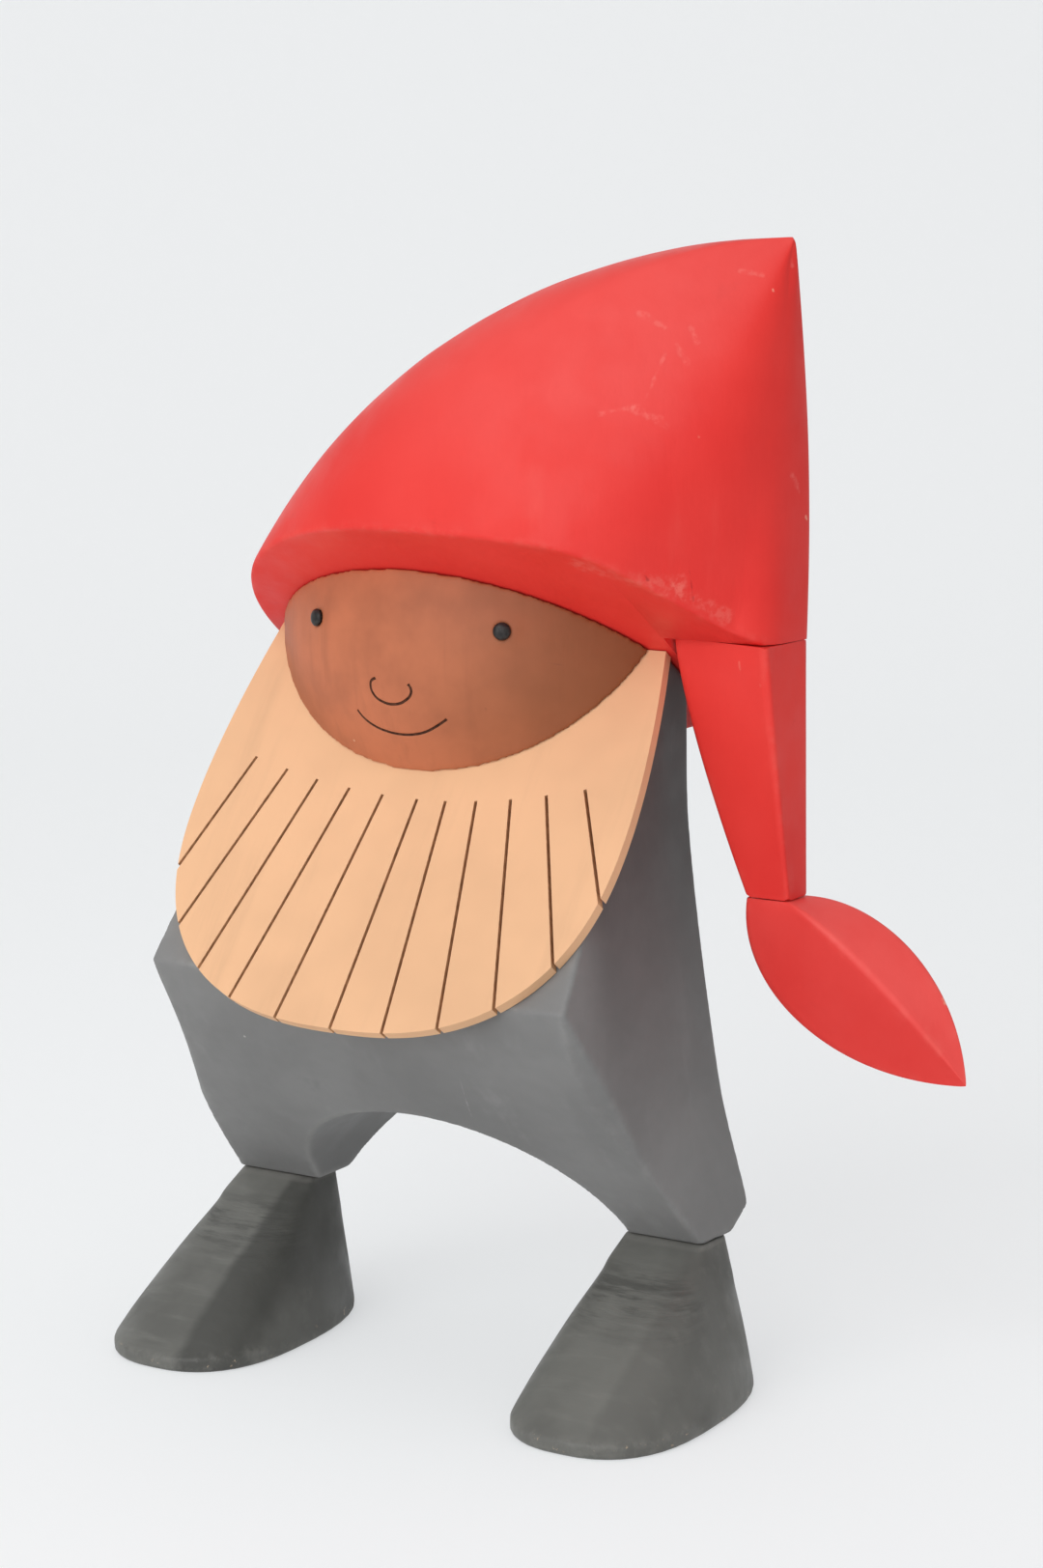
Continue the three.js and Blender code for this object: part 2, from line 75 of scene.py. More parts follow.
def colour_setting(name, about, *default):
    return bpy.props.FloatVectorProperty(
        name=name, description=about, subtype="COLOR", size=4, min=0, max=1, default=(*default, 1)
    )


class NisseForm(bpy.types.PropertyGroup):
    """Sizes of the surface work."""

    arris_reach: number_setting(
        "Arris reach", "How far wear spreads from a worn arris", 0.003, 0.0005, 0.02
    )
    tool_marks: number_setting(
        "Tool marks", "Height of the slow waves left by knife and sandpaper", 0.0003, 0, 0.001
    )
    face_line: number_setting(
        "Face line width", "Width of the burnt nose and mouth lines", 0.0012, 0.0004, 0.003
    )
    kerf_width: number_setting(
        "Kerf width", "Width of the saw cuts in the beard", 0.0014, 0.0008, 0.003
    )
    board_thickness: number_setting(
        "Beard board thickness", "Thickness of the beard board", 0.005, 0.003, 0.01
    )


class NisseFinish(bpy.types.PropertyGroup):
    """Colours of paint, stain and wood."""

    hat_red: colour_setting("Hat red", "Paint on hat, tail and tassel", 0.81, 0.028, 0.023)
    trouser_grey: colour_setting("Trouser grey", "Paint on the body", 0.222, 0.222, 0.221)
    shoe_dark: colour_setting("Shoe grey", "Paint on the shoes", 0.135, 0.136, 0.125)
    face_stain: colour_setting("Face stain", "Stain on the head", 0.50, 0.155, 0.071)
    bare_wood: colour_setting("Bare wood", "Sanded wood of the beard board", 0.84, 0.50, 0.285)


class NisseStage(bpy.types.PropertyGroup):
    """Floor, light and camera."""

    floor_colour: colour_setting("Floor", "Colour of the floor and backdrop", 0.92, 0.93, 0.93)
    backdrop_lift: number_setting(
        "Backdrop lift", "How much paler than lit the camera sees the floor", 0.52, 0, 1, "NONE"
    )
    key_power: number_setting("Key light", "Power of the large soft lamp", 33.0, 0, 500, "POWER")
    sky_strength: number_setting(
        "Sky", "Light from all round, half as strong again from above", 0.45, 0, 5, "NONE"
    )
    lens: number_setting("Lens", "Focal length for a 36 mm sensor", 84.24, 20, 300, "CAMERA")


def with_settings(thing, **settings):
    for key, value in settings.items():
        setattr(thing, key, value)
    return thing


# Short ways to build node trees


class Nodes:
    """A node tree under construction."""

    def __init__(self, tree):
        self.tree = tree

    def feed(self, socket, value):
        """Sets an input, or links it to another node's output."""
        if isinstance(value, bpy.types.NodeSocket):
            self.tree.links.new(value, socket)
        else:
            socket.default_value = value

    def add(self, kind, feeds=None, **settings):
        """The outputs of a new node; feeds holds what its inputs get, by name or by number."""
        node = with_settings(self.tree.nodes.new(kind), **settings)
        for key, value in (feeds or {}).items():
            self.feed(node.inputs[key], value)
        return node.outputs

    def math(self, operation, a, b):
        return self.add("ShaderNodeMath", {0: a, 1: b}, operation=operation)[0]

    def times(self, a, b):
        return self.math("MULTIPLY", a, b)


class Finish(Nodes):
    """A material under construction, whose base colour is built up layer on layer."""

    def __init__(self, name, roughness, specular):
        self.material = bpy.data.materials.new(name)
        self.material.use_nodes = True
        super().__init__(self.material.node_tree)
        self.shader = self.tree.nodes["Principled BSDF"].inputs
        self.shader["Roughness"].default_value = roughness
        self.shader["Specular IOR Level"].default_value = specular
        self.object = self.add("ShaderNodeTexCoord")["Object"]

    def plus(self, a, b):
        return self.math("ADD", a, b)

    def spread(self, value, low, high, to_low=0.0, to_high=1.0):
        """Smooth step from to_low to to_high as value goes from low to high."""
        feeds = dict(enumerate((value, low, high, to_low, to_high)))
        return self.add("ShaderNodeMapRange", feeds, interpolation_type="SMOOTHSTEP")[0]

    def placed(self, scale, turn=(0, 0, 0)):
        """Object coordinates, turned and scaled; a scale under 1 draws a pattern out."""
        feeds = {"Vector": self.object, "Rotation": turn, "Scale": scale}
        return self.add("ShaderNodeMapping", feeds)[0]

    def noise(self, scale, detail=3.0, roughness=0.55, vector=None):
        place = self.object if vector is None else vector
        feeds = {"Vector": place, "Scale": scale, "Detail": detail, "Roughness": roughness}
        return self.add("ShaderNodeTexNoise", feeds)["Fac"]

    def specks(self, spacing, radius, share):
        """Small round specks: 1 inside one, over about this share of the cells."""
        feeds = {"Vector": self.object, "Scale": 1 / spacing}
        cells = self.add("ShaderNodeTexVoronoi", feeds, feature="F1")
        inside = self.spread(cells["Distance"], radius / spacing, 0.5 * radius / spacing)
        pick = self.add("ShaderNodeSeparateColor", {0: cells["Color"]})[0]
        return self.times(inside, self.math("LESS_THAN", pick, share))

    def mix(self, factor, a, b):
        """Two colours mixed; each is red, green and blue or another node's output."""
        a, b = ((*c, 1) if isinstance(c, tuple) else c for c in (a, b))
        feeds = {"Factor": factor, "A": a, "B": b}
        return self.add("ShaderNodeMix", feeds, data_type="RGBA")["Result"]

    def split(self):
        """The X, Y and Z of the object coordinates."""
        return self.add("ShaderNodeSeparateXYZ", {0: self.object})

    def stored(self, name):
        """A value that the mesh holds at each of its points."""
        return self.add("ShaderNodeAttribute", attribute_name=name)["Fac"]

    def bump(self, height, distance, strength, below=None):
        feeds = {"Height": height, "Distance": distance, "Strength": strength}
        if below is not None:
            feeds["Normal"] = below
        return self.add("ShaderNodeBump", feeds)["Normal"]

    def ground(self, pattern, dark, light, edge=0.3):
        """Starts the base colour, clouded between two tones."""
        self.base = self.mix(self.spread(pattern, edge, 1 - edge), dark, light)

    def lay(self, share, colour):
        """Lays a colour over the base; share is how much of it, from 0 to 1."""
        self.base = self.mix(share, self.base, colour)

    def rub(self, pattern, low, high, most, colour):
        """Lays a colour on patches of the arrises."""
        worn = self.times(self.stored("arris"), self.spread(pattern, low, high))
        self.lay(self.times(worn, most), colour)

    def mark(self, start, end, width):
        """1 along a short, shaky line on the surface; all measures are in millimetres."""
        start, end = Vector(start) * MM, Vector(end) * MM
        along = (end - start).normalized()

        def vector(operation, feeds):
            return self.add("ShaderNodeVectorMath", feeds, operation=operation)

        offset = vector("SUBTRACT", {0: self.object, 1: start})[0]
        step = vector("DOT_PRODUCT", {0: offset, 1: along})["Value"]
        held = self.math("MINIMUM", self.math("MAXIMUM", step, 0.0), (end - start).length)
        back = vector("SCALE", {0: along, "Scale": held})[0]
        gap = vector("DISTANCE", {0: offset, 1: back})["Value"]
        shake = self.times(self.math("SUBTRACT", self.noise(220, 2), 0.5), 2.2 * width * MM)
        return self.spread(self.plus(gap, shake), width * MM, 0.1 * width * MM)

    def marks(self, colour, strength, *lines):
        """Lays short marks of one colour over the base; each line is start, end and width."""
        patchy = self.spread(self.noise(330, 3, 0.6), 0.36, 0.62, 0.1 * strength, strength)
        for line in lines:
            self.lay(self.times(self.mark(*line), patchy), colour)

    def done(self, normal=None, roughness=None):
        """The finished material."""
        given = {"Base Color": self.base, "Normal": normal, "Roughness": roughness}
        for name, value in given.items():
            if value is not None:
                self.feed(self.shader[name], value)
        return self.material


def chosen(name):
    """The colour that the user has set."""
    return tuple(getattr(bpy.context.scene.nisse_finish, name))[:3]


def darker(colour, share):
    return tuple(c * share for c in colour)


def toward(colour, other, share):
    return tuple(a + (b - a) * share for a, b in zip(colour, other))


# Carved surfaces. Corners of a solid that turn by more than this many degrees are arrises, and
# this is the spacing of the points along them; the hand's waves come this many to the metre, and
# they die away this near an arris.
SHARP_CORNER, ARRIS_SPACING = 18.0, 0.0004
WAVES_PER_METRE, CALM_BY_ARRIS = 38.0, 0.006
# How far each round of sanding goes on open ground and by the arrises, and how wide it eases them
GROUND_SHARE, ARRIS_SHARE, ARRIS_EASE = 0.6, 0.5, 0.004


def linked(name, data):
    """A new object in the scene that holds this mesh, curve, lamp or camera."""
    piece = bpy.data.objects.new(name, data)
    bpy.context.scene.collection.objects.link(piece)
    return piece


def mesh_of(name, places, faces):
    mesh = bpy.data.meshes.new(name)
    mesh.from_pydata(places, [], faces)
    return mesh


def plain_mesh(piece, kind=None, **settings):
    """What an object's modifiers, and one more of this kind, make of it; the object then goes."""
    if kind:
        with_settings(piece.modifiers.new(kind.title(), kind), **settings)
    graph = bpy.context.evaluated_depsgraph_get()
    mesh = bpy.data.meshes.new_from_object(piece.evaluated_get(graph))
    bpy.data.objects.remove(piece)
    return mesh


def cut_away(piece, cutter, material_mode="INDEX"):
    """What is left of an object when a cutter is taken out of it; both objects then go."""
    cut = {"operation": "DIFFERENCE", "solver": "EXACT", "object": cutter}
    mesh = plain_mesh(piece, "BOOLEAN", material_mode=material_mode, **cut)
    bpy.data.objects.remove(cutter)
    return mesh


def merged_copy(node):
    """The CAD node's mesh with its doubled corners merged."""
    work = bmesh.new()
    work.from_mesh(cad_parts[node].data)
    bmesh.ops.remove_doubles(work, verts=work.verts, dist=1e-6)
    return work


def sharp_points(work):
    """Closely spaced points along the arrises of a mesh."""
    points = []
    for edge in work.edges:
        if len(edge.link_faces) != 2:
            continue
        if math.degrees(edge.calc_face_angle_signed(0)) < SHARP_CORNER:
            continue
        a, b = (v.co for v in edge.verts)
        steps = max(1, round((b - a).length / ARRIS_SPACING))
        points += [a.lerp(b, i / steps) for i in range(steps + 1)]
    return points


def tree_of(points):
    tree = KDTree(len(points))
    for i, p in enumerate(points):
        tree.insert(p, i)
    tree.balance()
    return tree


def gaps_to(tree, places):
    """How far each place is from the nearest point of the tree."""
    return np.array([tree.find(p)[2] for p in places])


def relax(co, edges, share, rounds):
    """Draws each vertex toward the middle of its neighbours, by its own share."""
    a, b = edges[:, 0], edges[:, 1]
    n = len(co)
    count = np.bincount(np.concatenate([a, b]), minlength=n)[:, None]
    for _ in range(rounds):
        sums = [np.bincount(a, co[b, k], n) + np.bincount(b, co[a, k], n) for k in range(3)]
        co = co + share[:, None] * (np.stack(sums, axis=1) / np.maximum(count, 1) - co)
    return co


def read(items, key, kind=float, width=1):
    """An array of what each vertex, edge or corner of a mesh holds under this key."""
    values = np.empty(len(items) * width, kind)
    items.foreach_get(key, values)
    return values.reshape(-1, width)


def points_and_edges(mesh):
    return read(mesh.vertices, "co", float, 3), read(mesh.edges, "vertices", int, 2)


def move(mesh, co):
    mesh.vertices.foreach_set("co", co.ravel())
    mesh.update()


def faced_outward(mesh):
    """Turns all faces of a closed mesh outward."""
    work = bmesh.new()
    work.from_mesh(mesh)
    bmesh.ops.recalc_face_normals(work, faces=work.faces)
    work.to_mesh(mesh)
    work.free()
    return mesh


def store(mesh, name, values):
    """Keeps a value on each point of the mesh, for its material to read."""
    attribute = mesh.attributes.new(name, "FLOAT", "POINT")
    attribute.data.foreach_set("value", np.array(values, np.float32))


def finish_surface(mesh, co, arrises):
    """Sets the points with the hand's slow waves added, and stores how near the arrises are."""
    form = bpy.context.scene.nisse_form
    move(mesh, co)
    gaps = gaps_to(arrises, co)
    normals = np.array([v.normal for v in mesh.vertices])
    waves = np.array([noise.noise(Vector(p) * WAVES_PER_METRE) for p in co])
    height = form.tool_marks * (waves - 0.5) * np.clip(gaps / CALM_BY_ARRIS, 0, 1)
    co = co + normals * height[:, None]
    co[:, 2] = np.maximum(co[:, 2], 0)
    move(mesh, co)
    store(mesh, "arris", np.exp(-((gaps / form.arris_reach) ** 2)))
    mesh.shade_smooth()


def even_skin(mesh, voxel):
    """An even skin of small squares over a closed mesh."""
    return plain_mesh(linked("block", mesh), "REMESH", mode="VOXEL", voxel_size=voxel)


def carved(name, node, voxel, calm, soften, fine=None):
    """A hand-carved copy of a CAD node: its even facets are sanded smooth and its arrises eased.

    voxel is the skin's fineness; calm and soften are the rounds of sanding on open ground and by
    the arrises. Where fine is given, the arrises are eased on a skin of that fineness first, and
    the coarser one is then laid over it."""
    fine = fine or voxel
    source = merged_copy(node)
    arrises = tree_of(sharp_points(source))
    surface = BVHTree.FromBMesh(source)
    start = bpy.data.meshes.new(name + "_start")
    source.to_mesh(start)
    source.free()
    mesh = even_skin(start, fine)
    co, edges = points_and_edges(mesh)
    co = np.array([surface.find_nearest(p)[0] for p in co])
    gaps = gaps_to(arrises, co)
    open_ground = np.clip((gaps - 2 * fine) / (7 * fine), 0, 1) ** 2
    co = relax(co, edges, GROUND_SHARE * open_ground, calm)
    co = relax(co, edges, ARRIS_SHARE * np.exp(-((gaps / ARRIS_EASE) ** 2)), soften)
    if voxel > fine:
        corners = read(mesh.loops, "vertex_index", int).reshape(-1, 4)
        skin = BVHTree.FromPolygons(co.tolist(), corners.tolist())
        mesh = even_skin(start, voxel)
        co = np.array([skin.find_nearest(p)[0] for p in points_and_edges(mesh)[0]])
    mesh.name = name
    finish_surface(mesh, co, arrises)
    return mesh


def bezier(points, count):
    """This many points along a Bezier curve of any degree, its far end left out."""
    t = np.linspace(0, 1, count, endpoint=False)[:, None]
    layer = [np.tile(np.array(p, float), (count, 1)) for p in points]
    while len(layer) > 1:
        layer = [a + (b - a) * t for a, b in zip(layer, layer[1:])]
    return layer[0]


def smooth_step(x, low, high):
    t = np.clip((x - low) / (high - low), 0, 1)
    return t * t * (3 - 2 * t)


def loft(name, rings, tip=None, loose=()):
    """Closed skin over equal rings of points, flat at its first end and at its last or at a tip.

    Loose points come after those of the skin."""
    rows, around = rings.shape[:2]
    places = [tuple(p) for p in rings.reshape(-1, 3)]
    last = (rows - 1) * around
    sides = [(i, (i + 1) % around) for i in range(around)]
    faces = [
        (row + a, row + b, row + around + b, row + around + a)
        for row in range(0, last, around)
        for a, b in sides
    ]
    faces.append(tuple(range(around))[::-1])
    if tip is None:
        faces.append(tuple(range(last, last + around)))
    else:
        places.append(tuple(tip))
        faces += [(last + a, last + b, last + around) for a, b in sides]
    return faced_outward(mesh_of(name, [*places, *loose], faces))


def eased(mesh, arrises, radius, rounds):
    """Rounds the arrises of a lofted skin over a small radius."""
    co, edges = points_and_edges(mesh)
    share = ARRIS_SHARE * np.exp(-((gaps_to(arrises, co) / radius) ** 2))
    return relax(co, edges, share, rounds)


def add_piece(name, mesh, slot, nodes, *materials):
    """Puts a finished mesh in the scene as a piece that stands for these CAD nodes."""
    piece = linked(name, mesh)
    if materials:
        mesh.materials.clear()
    for material in materials:
        mesh.materials.append(material)
    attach(piece, "root")
    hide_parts(*nodes)
    return piece


def carve_pair(name, node, slot, paint, *fineness):
    """Carves the left and the right one of a pair, whose names end in the side."""
    for side in ("left", "right"):
        mesh = carved(name + side, node + side, *fineness)
        add_piece(name + side, mesh, slot, [node + side], paint)


# Small marks of use on the paint: start, end and width of each, in millimetres.
HAT_SCUFFS = (
    ((55.6, -7.9, 451.3), (67.2, -6.4, 445.8), 1.8),
    ((76.1, -2.6, 445.7), (79.9, -3.9, 440.2), 1.5),
    ((72.1, -7.2, 440.2), (77.3, -8.6, 432.9), 2.0),
    ((69.4, -10.2, 436.6), (65.3, -20.0, 418.0), 1.0),
    ((61.2, -22.6, 415.4), (74.4, -18.8, 408.7), 2.6),
    ((49.4, -27.6, 412.9), (61.2, -22.6, 415.4), 1.4),
    ((88.5, 15.8, 468.0), (96.8, 18.9, 466.0), 1.3),
    ((104.4, 29.1, 472.2), (104.7, 28.6, 469.6), 1.3),
    ((109.2, 20.7, 387.0), (109.8, 25.2, 379.8), 1.8),
)
HAT_CHIPS = (
    ((85.7, -13.6, 404.5), (86.1, -13.5, 403.9), 0.9),
    ((110.4, 30.1, 369.5), (110.5, 30.8, 368.8), 1.0),
    ((101.5, 18.5, 460.4), (101.6, 18.4, 459.9), 0.8),
    ((173.3, 31.2, 177.8), (174.2, 31.1, 176.4), 1.3),
)
HAT_CRACKS = (
    ((81.5, -17.8, 368.9), (82.5, -12.1, 338.7), 0.6),
    ((69.4, -27.4, 349.3), (70.0, -26.7, 347.9), 1.0),
)
BRIM_RUB = (
    ((46.3, -38.9, 353.8), (77.9, -17.7, 343.9), 5.5),
    ((77.9, -17.7, 343.9), (91.5, -1.4, 331.6), 4.0),
)
TAIL_MARKS = (
    ((92.2, 7.9, 312.0), (92.6, 7.9, 301.0), 0.8),
    ((102.4, 7.0, 303.4), (102.5, 7.0, 302.9), 1.0),
)
BELLY_CRACK = (
    ((-3.0, -60.0, 152.0), (-3.6, -54.1, 138.9), 0.4),
    ((-3.6, -54.1, 138.9), (-6.9, -41.5, 121.1), 0.5),
)


def red_paint():
    """Satin red, brushed along the hat, with painted light on top, and scuffed."""
    colour = chosen("hat_red")
    along_hat = (0.0, 0.5, 0.0)
    f = Finish("hat_red_paint", 0.5, 0.3)
    f.ground(f.noise(9), darker(colour, 0.93), toward(colour, (0.86, 0.09, 0.07), 0.25))
    long_streaks = f.noise(30, 4, 0.6, f.placed((1, 1, 0.18), along_hat))
    f.lay(f.spread(long_streaks, 0.62, 0.85, 0, 0.22), (0.9, 0.2, 0.16))
    f.lay(f.spread(f.noise(55, 5, 0.7), 0.62, 0.8, 0, 0.3), darker(colour, 0.72))
    # Painted light: the crown's top and the tassel's upper face are made paler and pinker
    pale = f.times(f.stored("paled"), f.spread(f.noise(26, 4), 0.25, 0.75, 0.6, 1))
    f.lay(f.times(pale, 0.8), (0.89, 0.105, 0.094))
    f.rub(f.noise(90, 5, 0.65), 0.42, 0.66, 0.08, (0.92, 0.36, 0.28))
    f.lay(f.times(f.specks(0.034, 0.0009, 0.16), 0.6), (0.93, 0.42, 0.34))
    f.lay(f.specks(0.052, 0.0007, 0.25), (0.34, 0.02, 0.02))
    f.marks((0.88, 0.2, 0.17), 0.36, *HAT_SCUFFS)
    f.marks((0.87, 0.3, 0.24), 0.2, *BRIM_RUB)
    f.marks((0.9, 0.42, 0.3), 0.85, *HAT_CHIPS)
    f.marks((0.9, 0.26, 0.2), 0.45, *TAIL_MARKS)
    f.marks((0.33, 0.012, 0.012), 0.6, *HAT_CRACKS)
    brush = f.noise(420, 3, 0.6, f.placed((1, 1, 0.12), along_hat))
    brushed = f.bump(f.noise(60, 2), 0.0006, 0.5, f.bump(brush, 0.00012, 0.6))
    return f.done(brushed, f.spread(f.noise(40, 4), 0.3, 0.7, 0.42, 0.6))


def grey_paint():
    """Matt grey, streaked up and down, rubbed at its arrises, with painted shade high on the side
    and a painted highlight by the arch.
    """
    colour = chosen("trouser_grey")
    worn = (0.36, 0.36, 0.35)
    f = Finish("trouser_grey_paint", 0.6, 0.35)
    f.ground(f.noise(11, 4, 0.6), darker(colour, 0.86), darker(colour, 1.1))
    streaks = f.noise(55, 4, 0.6, f.placed((1, 1, 0.12)))
    f.lay(f.spread(streaks, 0.55, 0.8, 0, 0.4), darker(colour, 1.35))
    f.lay(f.spread(f.noise(34, 5, 0.7), 0.6, 0.78, 0, 0.35), darker(colour, 0.66))
    f.rub(f.noise(80, 5, 0.65), 0.4, 0.7, 0.22, worn)
    # A pale line along the arch's near edge on the right leg: rubbed paint with a painted highlight
    x, y, z = f.split()
    right_leg = f.times(f.spread(x, -0.05, -0.07), f.spread(y, 0.03, 0.01))
    by_arch = f.times(right_leg, f.spread(x, -0.128, -0.122))
    line = f.times(f.math("POWER", f.stored("arris"), 3.0), by_arch)
    f.lay(f.times(line, 0.45), worn)
    f.lay(f.specks(0.04, 0.0008, 0.25), (0.45, 0.44, 0.42))
    # Painted shade: darker high up on the side, in the shade under the hat
    height = f.plus(z, f.times(f.noise(20), 0.04))
    side = f.times(f.spread(x, 0.044, 0.052), f.spread(y, -0.065, -0.035))
    f.lay(f.times(side, f.spread(height, 0.1, 0.27, 0, 0.85)), darker(colour, 0.35))
    f.marks((0.34, 0.34, 0.335), 0.55, *BELLY_CRACK)
    brush = f.noise(480, 3, 0.6, f.placed((1, 1, 0.1)))
    brushed = f.bump(f.noise(70, 2), 0.0006, 0.5, f.bump(brush, 0.00012, 0.6))
    return f.done(brushed, f.spread(f.noise(45, 4), 0.3, 0.7, 0.5, 0.68))


# The figure's middle across the frame, and the right shoe's and the shoes' spacing, in metres
BODY_MIDDLE, SHOE_MIDDLE, SHOE_SPACING = -0.043, -0.146, 0.206


def shoe_paint():
    """Dark grey over the wood's own ridges."""
    colour = chosen("shoe_dark")
    f = Finish("shoe_dark_paint", 0.5, 0.4)
    f.ground(f.noise(18, 4, 0.6), darker(colour, 0.86), darker(colour, 1.26))
    ridges = f.noise(150, 4, 0.6, f.placed((0.16, 1, 1)))
    f.lay(f.spread(ridges, 0.5, 0.75, 0, 0.35), darker(colour, 1.7))
    x, y, height = f.split()
    # Horizontal brush ridges with dark paint between them, on the upper instep
    upper = f.times(f.spread(height, 0.030, 0.052), f.spread(y, 0.0, -0.02))
    brushed = f.noise(120, 4, 0.65, f.placed((0.22, 0.22, 2.6)))
    f.lay(f.times(upper, f.spread(brushed, 0.46, 0.62, 0, 0.75)), darker(colour, 0.5))
    f.lay(f.times(upper, f.spread(brushed, 0.44, 0.34, 0, 0.4)), darker(colour, 1.7))
    # Painted shade: a darker band down the left of each instep, where its side is in shade,
    # stronger on the right shoe
    on_left = f.math("GREATER_THAN", x, BODY_MIDDLE)
    across = f.math("SUBTRACT", f.plus(x, -SHOE_MIDDLE), f.times(on_left, SHOE_SPACING))
    across = f.plus(across, f.times(f.noise(60), 0.005))
    painted_shade_band = f.times(f.spread(across, 0.0125, 0.018), f.spread(across, 0.041, 0.034, 0.35, 1))
    painted_shade_band = f.times(painted_shade_band, f.math("SUBTRACT", 0.8, f.times(on_left, 0.5)))
    f.lay(painted_shade_band, darker(colour, 0.45))
    # Pale wood where the paint has chipped along the sole's front edge
    low = f.times(f.spread(height, 0.0075, 0.0045), f.spread(height, 0.0015, 0.003))
    chipped = f.times(low, f.spread(f.noise(260, 4, 0.7), 0.63, 0.67))
    f.lay(f.times(chipped, 0.9), (0.5, 0.38, 0.27))
    f.rub(f.noise(120, 5, 0.7), 0.42, 0.62, 0.3, (0.27, 0.265, 0.245))
    f.lay(f.specks(0.022, 0.0006, 0.4), (0.45, 0.44, 0.4))
    f.lay(f.spread(height, 0.0632, 0.0645, 0, 0.35), (0.22, 0.215, 0.2))
    ridged = f.bump(ridges, 0.0004, 0.5, f.bump(f.times(upper, brushed), 0.0012, 0.7))
    return f.done(ridged, f.spread(f.noise(60, 4), 0.3, 0.7, 0.4, 0.62))


def face_stain():
    """Brown stain, rubbed matt, with painted shade round its left side."""
    colour = chosen("face_stain")
    f = Finish("face_stain", 0.55, 0.35)
    f.ground(f.noise(22, 4, 0.6), darker(colour, 0.82), darker(colour, 1.12))
    grain = f.noise(90, 4, 0.6, f.placed((1, 1, 0.08)))
    f.lay(f.spread(grain, 0.5, 0.75, 0, 0.4), darker(colour, 0.7))
    f.lay(f.specks(0.022, 0.0006, 0.3), (0.13, 0.05, 0.03))
    # Painted shade: darker round its left side, where it turns into shade; thin scratches cross it
    side = f.plus(f.split()["X"], f.times(f.noise(24), 0.03))
    f.lay(f.spread(side, -0.05, 0.07, 0, 0.9), (0.21, 0.068, 0.022))
    f.marks((0.2, 0.06, 0.03), 0.5, ((13.9, -17.2, 309.8), (23.4, -10.2, 308.0), 0.4))
    f.marks((0.75, 0.4, 0.25), 0.5, ((1.7, -23.2, 296.2), (3.2, -22.8, 294.0), 0.6))
    f.marks((0.07, 0.03, 0.02), 0.8, ((-7.5, -26.0, 289.9), (-7.4, -26.0, 289.6), 0.9))
    f.marks((0.9, 0.7, 0.5), 0.7, ((-75.8, -23.4, 271.2), (-75.6, -23.4, 271.0), 0.7))
    return f.done(f.bump(grain, 0.0003, 0.6))


def bare_wood(name="bare_wood", colour=None):
    """Sanded wood, its grain running up the slope."""
    colour = colour or chosen("bare_wood")
    f = Finish(name, 0.62, 0.3)
    f.ground(f.noise(14), darker(colour, 0.93), darker(colour, 1.05))
    grain = f.noise(70, 5, 0.6, f.placed((1, 0.1, 0.1), (-LEAN, 0, 0)))
    f.lay(f.spread(grain, 0.5, 0.78, 0, 0.28), darker(colour, 0.72))
    f.lay(f.specks(0.03, 0.0007, 0.25), (0.3, 0.13, 0.06))
    return f.done(f.bump(grain, 0.0002, 0.5))


def sawn_wall():
    """The walls of the saw cuts, browner and darker than the board: painted shade in the cuts."""
    f = Finish("sawn_wall", 0.8, 0.15)
    rough = f.noise(600, 3, 0.6, f.placed((1, 1, 0.2)))
    f.ground(rough, (0.5, 0.27, 0.14), (0.74, 0.43, 0.23), 0.35)
    return f.done()


def flecked(name, roughness, specular, scale, *tones):
    """A finish flecked with two dark tones, for the burnt lines and the eyes."""
    f = Finish(name, roughness, specular)
    f.ground(f.noise(scale), *tones, 0.35)
    return f.done()


class NISSE_OT_body(bpy.types.Operator):
    """Carves the grey body with its legs"""

    bl_idname = "nisse.body"
    bl_label = "Body"

    def execute(self, context):
        mesh = carved("carved_body", "body", 0.0015, 120, 7, 0.0009)
        add_piece("carved_body", mesh, "grey_paint", ["body"], grey_paint())
        return {"FINISHED"}


class NISSE_OT_shoes(bpy.types.Operator):
    """Carves the two wedge shoes"""

    bl_idname = "nisse.shoes"
    bl_label = "Shoes"

    def execute(self, context):
        carve_pair("carved_shoe_", "shoe_", "dark_paint", shoe_paint(), 0.0008, 90, 6)
        return {"FINISHED"}


# The hat's lines. The brim is given across and out of the slope, as seen on its flat underside,
# the corner lines of tail and tassel from the middle of the figure's hem, all in millimetres.
BRIM_HEIGHT = 162.4
BRIM_MIDDLE, BRIM_HALF, BRIM_FRONT, BRIM_BACK = -6.2, 106.5, 99.2, 83.2
BRIM_SIDE, BRIM_BACK_PULL = np.array((152, -18.7)), np.array((120, -30.7))
BRIM_CORNER, BRIM_CORNER_EASE, BRIM_FLANK = np.array((93, 87)), 0.34, np.array((136, 24.3))
BRIM_TURN, BRIM_TURN_END = (148, 19.3), (150, 5.3)
UPPER_FLANK, UPPER_TURN, UPPER_TURN_END = (122, 44.7), (150, 3), (152, -9)
ROUNDED_PULLS, ROUNDED_FROM, CORNERED_FROM = ((72, 93), (136, 63)), 0.45, (0.82, 0.97)
CROWN_ARC_START = math.radians(30)
FLANK_START, FLANK_END, SIDE_SWELL = 0, 104, 4
RIDGE_SWELL, RIDGE_FRONT = (6, -9.5), 71
TO_MIDDLE = np.array((-43.05, 78.5995, 0))
CROWN_TIP = np.array((147.2, -46, 480.8)) + TO_MIDDLE
SHELF = np.array((100, 319.5)) + (TO_MIDDLE[0], 0)
TAIL_TOP, TAIL_NECK, TASSEL_TOP, TAIL_EASE = 319.2, 213.15, 212.85, 1.35
TAIL_TOP_CORNERS = np.array([(100.3, -63.8), (149.6, -74.8), (152, -42.8), (106, -42.8)])
